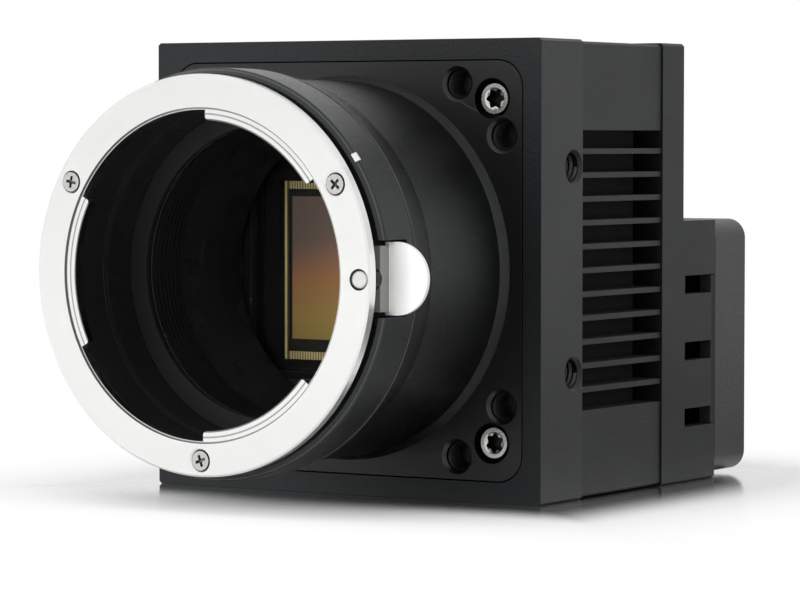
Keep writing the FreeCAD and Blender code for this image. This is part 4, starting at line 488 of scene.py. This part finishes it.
ceramic = grained("dark_ceramic", (0.011, 0.0105, 0.01), 0.5, grain=8000.0)
finished("sensor_package", ceramic)
finished("sensor_lid", clear_glass("lid_glass", (0.99, 0.99, 0.97), 1.15))
dark_resist = grained("dark_resist", (0.005, 0.007, 0.006), 0.4, speckle=0.5, depth=0.2)
finished("sensor_board", dark_resist)
machine_steel = grained("plated_steel", (0.52, 0.52, 0.5), 0.3, grain=5000.0, speckle=0.15, depth=0.2,
                        Metallic=1.0)
finished("sensor_board_screws", machine_steel, 0.05 * MM)
soft_grey = grained("silicone_pad", (0.2, 0.21, 0.22), 0.75, grain=2500.0, speckle=0.25)
finished("thermal_pad", soft_grey)

# ---------------------------------------------------------------- middle housing
# The housing is milled from one block of aluminium and anodised black like the frame. Twelve cooling
# grooves are sawn into each side, with a ragged band of painted shadow under each fin and a paler floor.

groove_pitch, groove_middle, groove_half = 3.53 * MM, -0.15 * MM, 1.34 * MM
grooves_low, grooves_high = -22.5 * MM, 22.2 * MM
groove_mouth, groove_inside = 33.5 * MM, 32.6 * MM
finned = grained("finned_black", (0.0038, 0.004, 0.0044), 0.44, depth=0.7, Specular_IOR_Level=0.43,
                 Specular_Tint=COOL)
tree = finned.node_tree
place = added(tree, "TexCoord")["Object"]
part = added(tree, "SeparateXYZ", place)
grooves_up = sums(tree, "MULTIPLY_ADD", part["Z"], 1 / groove_pitch, -groove_middle / groove_pitch)
share = sums(tree, "FRACT", grooves_up)
# Inside each groove a ragged dark band is painted shadow under the fin above; the rest is painted a little
# paler.
shadow_ragging = added(tree, "TexNoise", Vector=place, Scale=1100.0, Detail=3.0)["Fac"]
lower_corner = 0.5 - groove_half / groove_pitch
fin_shadow = ranged(tree, sums(tree, "MULTIPLY_ADD", shadow_ragging, -0.42, share), lower_corner - 0.1, lower_corner + 0.02)
groove_shading = blended(tree, fin_shadow, (0.0012, 0.0012, 0.0012, 1), (0.006, 0.0062, 0.0066, 1))
deep = ranged(tree, sums(tree, "ABSOLUTE", part["X"]), groove_mouth, groove_inside)
inner = sums(tree, "MULTIPLY", deep, within(tree, Z=(grooves_low, grooves_high)))
finished("mid_housing", repainted(finned, inner, groove_shading, 0.95), 0.1 * MM)

# ---------------------------------------------------------------- boards inside the housing
# A processing board and an interface board of glass fibre stand on plated hexagon spacers. Each carries
# moulded chips and two board connectors, and four screws hold the stack.

resist = grained("solder_resist", (0.008, 0.055, 0.025), 0.3, grain=2500.0, speckle=0.6, depth=0.2)
epoxy = grained("moulded_epoxy", (0.016, 0.016, 0.017), 0.5, grain=2500.0)
for node in ("processing_board", "interface_board"):
    finished(node, resist)
for node in ("processor_chip", "memory_chips", "board_connectors"):
    finished(node, epoxy, 0.1 * MM)
for node in ("board_spacers", "rear_board_spacers", "board_screws"):
    finished(node, machine_steel, 0.06 * MM)

# ---------------------------------------------------------------- rear cover
# The cover closes the housing and carries the fan on a square duct with three vents in its side. It is milled
# and anodised like the rest, and blackened socket screws hold it. A thin black sheet in each vent is painted
# shade.

cover_black = grained("cover_black", (0.0036, 0.0038, 0.0042), 0.44, depth=0.7, Specular_IOR_Level=0.36,
                      Specular_Tint=COOL)
inside_x, inside_y, inside_z = (12.0 * MM, 33.6 * MM), (82.65 * MM, 91.55 * MM), (-25.6 * MM, -1.8 * MM)
# The inside of the duct is painted near black and matt, as painted shade.
duct_shade = within(cover_black.node_tree, X=inside_x, Y=inside_y, Z=inside_z)
finished("rear_cover", repainted(cover_black, duct_shade, (0.0004, 0.0004, 0.0004, 1), 0.95), 0.12 * MM)
finished("rear_cover_screws", countersunk_black, 0.08 * MM)

screen_across, vent_middle, vent_high, vent_step = 32.0 * MM, 87.05 * MM, -3.3 * MM, 10.35 * MM
vent_length, vent_height, screen_thickness = 8.8 * MM, 2.75 * MM, 0.15 * MM
# Each vent holds a plain black sheet, which is painted shade inside the vent.
shade_sheet_black = grained("vent_shade_paint", (0.0008, 0.0008, 0.0008), 0.8, Specular_IOR_Level=0.0)
bm = bmesh.new()
for number in range(3):
    made = bmesh.ops.create_grid(bm, x_segments=32, y_segments=10, size=0.5)
    placed(bm, made["verts"], Matrix.Translation((screen_across, vent_middle, vent_high - number * vent_step))
           @ Matrix.Rotation(math.pi / 2, 4, "Y") @ Matrix.Diagonal((vent_height, vent_length, 1, 1)))
bmesh.ops.solidify(bm, geom=bm.faces[:], thickness=screen_thickness)
piece_from(bm, "vent_shade_sheets", shade_sheet_black, "rear_cover")

# ---------------------------------------------------------------- connectors and status light
# Four threaded coaxial jacks, a round push-pull power connector and a status light stand on the rear.
# The shells and nuts are nickel-plated brass, with gold-plated contacts in pale or black insulators.

nickel = grained("nickel_plate", (0.6, 0.585, 0.54), 0.24, grain=5000.0, speckle=0.08, depth=0.15,
                 Metallic=1.0)
for node in ("coax_jacks", "coax_nuts", "power_shell", "power_nut"):
    finished(node, nickel, 0.08 * MM)
ptfe = grained("pale_insulator", (0.68, 0.68, 0.65), 0.45, grain=3000.0, speckle=0.06)
finished("coax_inserts", ptfe, 0.05 * MM)
contact_gold = grained("contact_gold", (0.83, 0.6, 0.24), 0.25, speckle=0.08, depth=0.1, Metallic=1.0)
finished("coax_contacts", contact_gold, 0.04 * MM)
finished("power_pins", contact_gold)
finished("power_insert", epoxy, 0.05 * MM)
jack_pitch, jack_row, jack_root = 13.0 * MM, 17.9 * MM, 84.2 * MM
jack_crest, jack_core, jack_thread_pitch = 4.38 * MM, 4.22 * MM, 0.7 * MM
jack_places = [Matrix.Translation(((number - 1.5) * jack_pitch, jack_root, jack_row)) for number in range(4)]
tapped("jack_threads", jack_places, jack_crest, jack_core, jack_thread_pitch, 9, nickel, "coax_jacks",
       steps=40)
lens_plastic = grained("status_lens", (0.35, 0.6, 0.38), 0.3, grain=2500.0, speckle=0.1, depth=0.1)
finished("status_led", lens_plastic)

# ---------------------------------------------------------------- cooling fan
# A 40 mm fan of moulded glass-filled plastic, screwed to the duct through its four corners. Its rotor is a
# hub with seven blades over a ring magnet, which turns on a steel shaft in a bronze sleeve.

fan_plastic = grained("fan_plastic", (0.011, 0.0113, 0.012), 0.4, grain=3800.0, depth=0.6,
                      Specular_IOR_Level=0.6)
finished("fan_frame", fan_plastic, 0.25 * MM)
blade_plastic = grained("blade_plastic", (0.012, 0.012, 0.0125), 0.33, grain=3000.0, depth=0.3)
finished("fan_rotor", blade_plastic)
finished("fan_gasket", gasket_rubber, 0.1 * MM)
bronze = grained("sintered_bronze", (0.42, 0.27, 0.13), 0.4, Metallic=1.0)
finished("fan_bearing", bronze, 0.05 * MM)
copper = grained("lacquered_copper", (0.5, 0.2, 0.08), 0.3, grain=9000.0, speckle=0.5, Metallic=0.9)
finished("fan_stator", copper)
finished("fan_shaft", machine_steel, 0.05 * MM)
ferrite = grained("ferrite", (0.03, 0.029, 0.028), 0.55)
finished("rotor_magnet", ferrite)
finished("fan_screws", countersunk_black, 0.1 * MM)

# A plain round label covers the motor's base.
label_radius, label_thickness, label_place = 8.6 * MM, 0.12 * MM, (14.0 * MM, 103.31 * MM, -13.4 * MM)
label_foil = grained("label_foil", (0.32, 0.32, 0.325), 0.42, grain=1500.0, speckle=0.06, depth=0.1,
                     Metallic=0.6)
bm = bmesh.new()
bmesh.ops.create_circle(bm, cap_ends=True, segments=72, radius=label_radius)
raised = bmesh.ops.extrude_face_region(bm, geom=bm.faces[:])
bmesh.ops.translate(bm, verts=verts_of(raised), vec=(0, 0, label_thickness))
bmesh.ops.recalc_face_normals(bm, faces=bm.faces)
placed(bm, bm.verts, Matrix.Translation(label_place) @ Matrix.Rotation(-math.pi / 2, 4, "X"))
piece_from(bm, "motor_label", label_foil, "fan_frame")

# ---------------------------------------------------------------- face plate
# The plate is let into the frame and carries the mount. Socket screws of stainless steel hold its corners,
# and eight tapped M5 holes take a lens support.


def edges_of(result):
    """The edges that an operator made."""
    return [item for item in result["geom"] if isinstance(item, bmesh.types.BMEdge)]


plate_black = grained("plate_black", (0.0014, 0.0015, 0.0017), 0.25, grain=5500.0, depth=0.3,
                      Specular_IOR_Level=0.51)
finished("face_plate", plate_black, 0.1 * MM)

# Each head is drawn up from its shank's end through loops of a radius, a lobe's height and a level, in mm.
star_loops = [(1.42, 0, -7.4), (1.42, 0, -2.48), (2.42, 0, -2.48), (2.42, 0, -0.3), (2.22, 0, 0.0),
              (1.66, 0, 0.0), (1.5, 0.02, -0.16), (1.3, 0.2, -0.2), (1.22, 0.2, -1.7)]
corner_across, corner_up, head_level = 25.7 * MM, 25.2 * MM, front_face + 0.72 * MM
socket_start, socket_end = front_face + 0.98 * MM, front_face + 3.0 * MM
bm = bmesh.new()
bmesh.ops.create_circle(bm, cap_ends=True, segments=60, radius=star_loops[0][0] * MM)
bmesh.ops.translate(bm, verts=bm.verts, vec=(0, 0, star_loops[0][2] * MM))
loop_edges = bm.edges[:]
for radius, lobe, level in star_loops[1:]:
    grown = bmesh.ops.extrude_edge_only(bm, edges=loop_edges)
    loop_edges = edges_of(grown)
    for vert in verts_of(grown):
        round_axis = math.atan2(vert.co.y, vert.co.x)
        reach = radius + lobe * math.cos(6 * round_axis)
        vert.co = Vector((reach * math.cos(round_axis), reach * math.sin(round_axis), level)) * MM
bmesh.ops.contextual_create(bm, geom=loop_edges)
bmesh.ops.recalc_face_normals(bm, faces=bm.faces)
bmesh.ops.rotate(bm, verts=bm.verts, cent=(0, 0, 0), matrix=Matrix.Rotation(math.pi / 2, 3, "X"))
bmesh.ops.translate(bm, verts=bm.verts, vec=(corner_across, head_level, corner_up))
first = bm.faces[:] + bm.edges[:] + bm.verts[:]
for side, height, turn in ((-1, 1, 14), (1, -1, 37), (-1, -1, 50)):
    verts = verts_of(bmesh.ops.duplicate(bm, geom=first))
    bmesh.ops.rotate(bm, verts=verts, cent=(corner_across, 0, corner_up),
                     matrix=Matrix.Rotation(math.radians(turn), 3, "Y"))
    bmesh.ops.translate(bm, verts=verts, vec=((side - 1) * corner_across, 0, (height - 1) * corner_up))
socket_steel = grained("socket_steel", (0.66, 0.655, 0.63), 0.2, speckle=0.1, depth=0.2, Metallic=1.0)
# The socket inside each head is painted dark, as painted shade.
socket_shade = within(socket_steel.node_tree, Y=(socket_start, socket_end))
repainted(socket_steel, socket_shade, (0.03, 0.029, 0.027, 1))
piece_from(bm, "star_socket_screws", socket_steel, "face_plate_screws", "face_plate_screws", angle=35.0)

near_axis, off_axis = 19.8 * MM, 27.4 * MM
plate_holes = [Matrix.Translation((across * side, front_face + thread_start, up * height))
               for across, up in ((near_axis, off_axis), (off_axis, near_axis))
               for side in (1, -1) for height in (1, -1)]
tapped("plate_threads", plate_holes, thread_crest, thread_root, thread_pitch, 4, tap_black, "face_plate")

# ---------------------------------------------------------------- mount tube
# The long tube is turned from aluminium, with a collar, a fine groove and a flared foot, and anodised black.
# Its rear bore is ridged against stray light, with a knife-edged baffle ring in front.

tube_black = grained("tube_black", (0.0022, 0.0024, 0.0028), 0.28, grain=4300.0, depth=0.7,
                     Specular_IOR_Level=0.58, Specular_Tint=COOL)
bore_radius = 27.0 * MM
repainted(tube_black, within(tube_black.node_tree, R=(0.0, bore_radius)), (0.017, 0.017, 0.0175, 1))
# The groove's two edges, the collar's front edge and the flared foot are painted a little lighter, as painted
# highlights where they catch the light. Depths are in mm.
for low, high, painted_tone in ((10.21, 10.36, 0.09), (11.04, 11.19, 0.07), (3.4, 3.58, 0.05), (36.0, 37.7, 0.011)):
    repainted(tube_black, within(tube_black.node_tree, Y=(low * MM, high * MM)), (painted_tone, painted_tone, painted_tone, 1))

# The collar's rear taper is lengthened and the groove is made shallower than they are in the node.
hair = 0.02 * MM
collar_end, collar_radius, taper_radius, taper_gain = 14.0 * MM, 29.4 * MM, 29.2 * MM, 2.6 * MM
groove_front, groove_end, groove_bed, groove_rise = 10.3 * MM, 11.1 * MM, 29.0 * MM, 0.24 * MM
bm = merged("mount_tube")
for vert in bm.verts:
    out_from_axis = math.hypot(vert.co.x, vert.co.z)
    if abs(vert.co.y - collar_end) < hair and out_from_axis > groove_bed:
        vert.co.y -= taper_gain
        vert.co.x *= taper_radius / collar_radius
        vert.co.z *= taper_radius / collar_radius
    in_groove = groove_front - hair < vert.co.y < groove_end + hair
    if in_groove and abs(out_from_axis - groove_bed) < hair:
        vert.co.x *= 1 + groove_rise / groove_bed
        vert.co.z *= 1 + groove_rise / groove_bed
tube = piece_from(bm, "mount_tube_finished", tube_black, "mount_tube", "mount_tube", angle=24.0)
broken_edges(tube, 0.09 * MM, angle=24.0)
finished("tube_screws", countersunk_black, 0.05 * MM)
baffle_black = grained("baffle_black", (0.015, 0.015, 0.0155), 0.6)
finished("throat_baffle", baffle_black)
ridge_start, ridge_crest, ridge_root, ridge_pitch = 18.7 * MM, 21.44 * MM, 21.57 * MM, 0.95 * MM
ridge_black = grained("ridge_black", (0.009, 0.009, 0.009), 0.5)
tapped("bore_ridges", [Matrix.Translation((0, ridge_start, 0))], ridge_crest, ridge_root, ridge_pitch, 7,
       ridge_black, "mount_tube", steps=96)

# The index mark is a short dash of white paint over the collar's front edge. Radii and depths are in mm.
dash_line = ((28.95, 3.3), (29.45, 3.8), (29.45, 4.15))
dash_turn, dash_width, paint_thickness = math.radians(-33.9), math.radians(2.5), 0.03 * MM
paint = grained("white_paint", (0.82, 0.82, 0.8), 0.5, grain=3000.0, speckle=0.05, depth=0.2)
bm = bmesh.new()
dash = [bm.verts.new((radius * MM, depth * MM, 0)) for radius, depth in dash_line]
stroke = dash + [bm.edges.new(pair) for pair in zip(dash, dash[1:])]
bmesh.ops.rotate(bm, verts=bm.verts, cent=(0, 0, 0), matrix=Matrix.Rotation(dash_turn, 3, "Y"))
bmesh.ops.spin(bm, geom=stroke, cent=(0, 0, 0), axis=(0, 1, 0), angle=-dash_width, steps=6,
               use_merge=False, use_duplicate=False)
bmesh.ops.recalc_face_normals(bm, faces=bm.faces)
bmesh.ops.solidify(bm, geom=bm.faces[:], thickness=paint_thickness)
piece_from(bm, "index_mark", paint, "mount_tube")

# ---------------------------------------------------------------- bayonet ring
# The bayonet ring is turned brass with a thick satin chrome plate. Three small cross-head screws hold it over
# a sprung steel ring, whose leaves pull the lens's claws against the flange.

satin_chrome = grained("satin_chrome", (0.855, 0.855, 0.84), 0.24, grain=4000.0, speckle=0.03, depth=0.12,
                       Metallic=1.0)
# The steps between the flange, the recess and the lugs show as darker lines of painted shade. Radii are in
# mm.
for low, high, painted_tone in ((23.52, 23.78, 0.28), (22.75, 23.0, 0.42), (20.0, 22.2, 0.22)):
    step_shade = within(satin_chrome.node_tree, R=(low * MM, high * MM))
    repainted(satin_chrome, step_shade, (painted_tone, painted_tone, 0.98 * painted_tone, 1))
finished("bayonet_ring", satin_chrome, 0.07 * MM)
spring_steel = grained("spring_steel", (0.22, 0.22, 0.22), 0.35, Metallic=1.0)
finished("bayonet_spring", spring_steel)

# Each screw is a disc with its shank drawn down from the rim, and a cross cut into its top.
head_radius, head_height, shank_radius = 1.42 * MM, 0.78 * MM, 0.78 * MM
slot_half, slot_reach, slot_depth = 0.21 * MM, 0.88 * MM, 0.6 * MM
screw_circle, screw_top, shank_end = 26.2 * MM, 0.14 * MM, 6.7 * MM
cross_start, cross_end = screw_top + 0.12 * MM, screw_top + 9.0 * MM
first_screw, head_turn, floor_share, top_level = math.radians(30), math.radians(20), 0.72, -0.001 * MM
bm = bmesh.new()
bmesh.ops.create_circle(bm, cap_ends=True, segments=48, radius=head_radius)
rim_edges = [edge for edge in bm.edges if edge.is_boundary]
for radius, fall in ((shank_radius, -head_height), (shank_radius, -shank_end)):
    skirt = bmesh.ops.extrude_edge_only(bm, edges=rim_edges)
    rim_edges = edges_of(skirt)
    for vert in verts_of(skirt):
        vert.co = Vector((vert.co.x, vert.co.y, 0)).normalized() * radius + Vector((0, 0, fall))
bmesh.ops.contextual_create(bm, geom=rim_edges)
for axis in ((1, 0, 0), (0, 1, 0)):
    for offset in (-slot_reach, -slot_half, slot_half, slot_reach):
        flat = [face for face in bm.faces if face.calc_center_median().z > top_level]
        around = dict.fromkeys(item for face in flat for item in (*face.edges, *face.verts))
        bmesh.ops.bisect_plane(bm, geom=flat + list(around), dist=0.0001 * MM, plane_no=axis,
                               plane_co=tuple(offset * part for part in axis))
cross = []
for face in bm.faces:
    centre = face.calc_center_median()
    across, up = abs(centre.x), abs(centre.y)
    if centre.z > top_level and max(across, up) < slot_reach and min(across, up) < slot_half:
        cross.append(face)
sunk = bmesh.ops.extrude_face_region(bm, geom=cross)
bmesh.ops.delete(bm, geom=[face for face in cross if face.is_valid], context="FACES")
floor_verts = verts_of(sunk)
bmesh.ops.scale(bm, verts=floor_verts, vec=(floor_share, floor_share, 1))
bmesh.ops.translate(bm, verts=floor_verts, vec=(0, 0, -slot_depth))
bmesh.ops.recalc_face_normals(bm, faces=bm.faces)
bmesh.ops.rotate(bm, verts=bm.verts, cent=(0, 0, 0), matrix=Matrix.Rotation(head_turn, 3, "Z"))
bmesh.ops.rotate(bm, verts=bm.verts, cent=(0, 0, 0), matrix=Matrix.Rotation(math.pi / 2, 3, "X"))
bmesh.ops.translate(bm, verts=bm.verts, vec=(screw_circle, screw_top, 0))
first = bm.faces[:] + bm.edges[:] + bm.verts[:]
for number in (1, 2):
    bmesh.ops.rotate(bm, verts=verts_of(bmesh.ops.duplicate(bm, geom=first)), cent=(0, 0, 0),
                     matrix=Matrix.Rotation(-number * math.tau / 3, 3, "Y"))
bmesh.ops.rotate(bm, verts=bm.verts, cent=(0, 0, 0), matrix=Matrix.Rotation(-first_screw, 3, "Y"))
head_steel = grained("cross_head_steel", (0.6, 0.59, 0.565), 0.24, grain=4000.0, speckle=0.1, depth=0.2,
                     Metallic=1.0)
# The cross cut into each head is painted darker, as painted shade.
cross_shade = within(head_steel.node_tree, Y=(cross_start, cross_end))
repainted(head_steel, cross_shade, (0.2, 0.2, 0.19, 1))
heads = piece_from(bm, "cross_head_screws", head_steel, "bayonet_ring_screws", "bayonet_ring_screws")
broken_edges(heads, 0.04 * MM)

# ---------------------------------------------------------------- lock pin and release lever
# The lever is bent from steel sheet and chromed like the ring. The lock pin is riveted into its foot, and a
# fine steel coil behind the foot pushes both forwards.

leg_start, leg_end, dome_end, pin_end = -1.0 * MM, 5.8 * MM, 1.2 * MM, 20.0 * MM
lever_chrome = grained("lever_chrome", (0.97, 0.97, 0.965), 0.36, speckle=0.02, depth=0.05, Metallic=0.1)
# The lever's leg, which faces sideways, is painted darker as painted shade.
leg_shade = within(lever_chrome.node_tree, Y=(leg_start, leg_end))
repainted(lever_chrome, leg_shade, (0.25, 0.244, 0.22, 1))
finished("release_lever", lever_chrome, 0.1 * MM)
pin_chrome = grained("pin_chrome", (0.8, 0.8, 0.79), 0.26, speckle=0.03, depth=0.12, Metallic=1.0)
# The pin's shaft behind its dome is painted near black, as painted shade in its hole.
shaft_shade = within(pin_chrome.node_tree, Y=(dome_end, pin_end))
finished("lock_pin", repainted(pin_chrome, shaft_shade, (0.03, 0.03, 0.03, 1)))
coil = frame["nodes"]["lever_spring"]
coil.data.materials.clear()
coil.data.materials.append(spring_steel)
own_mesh(coil)
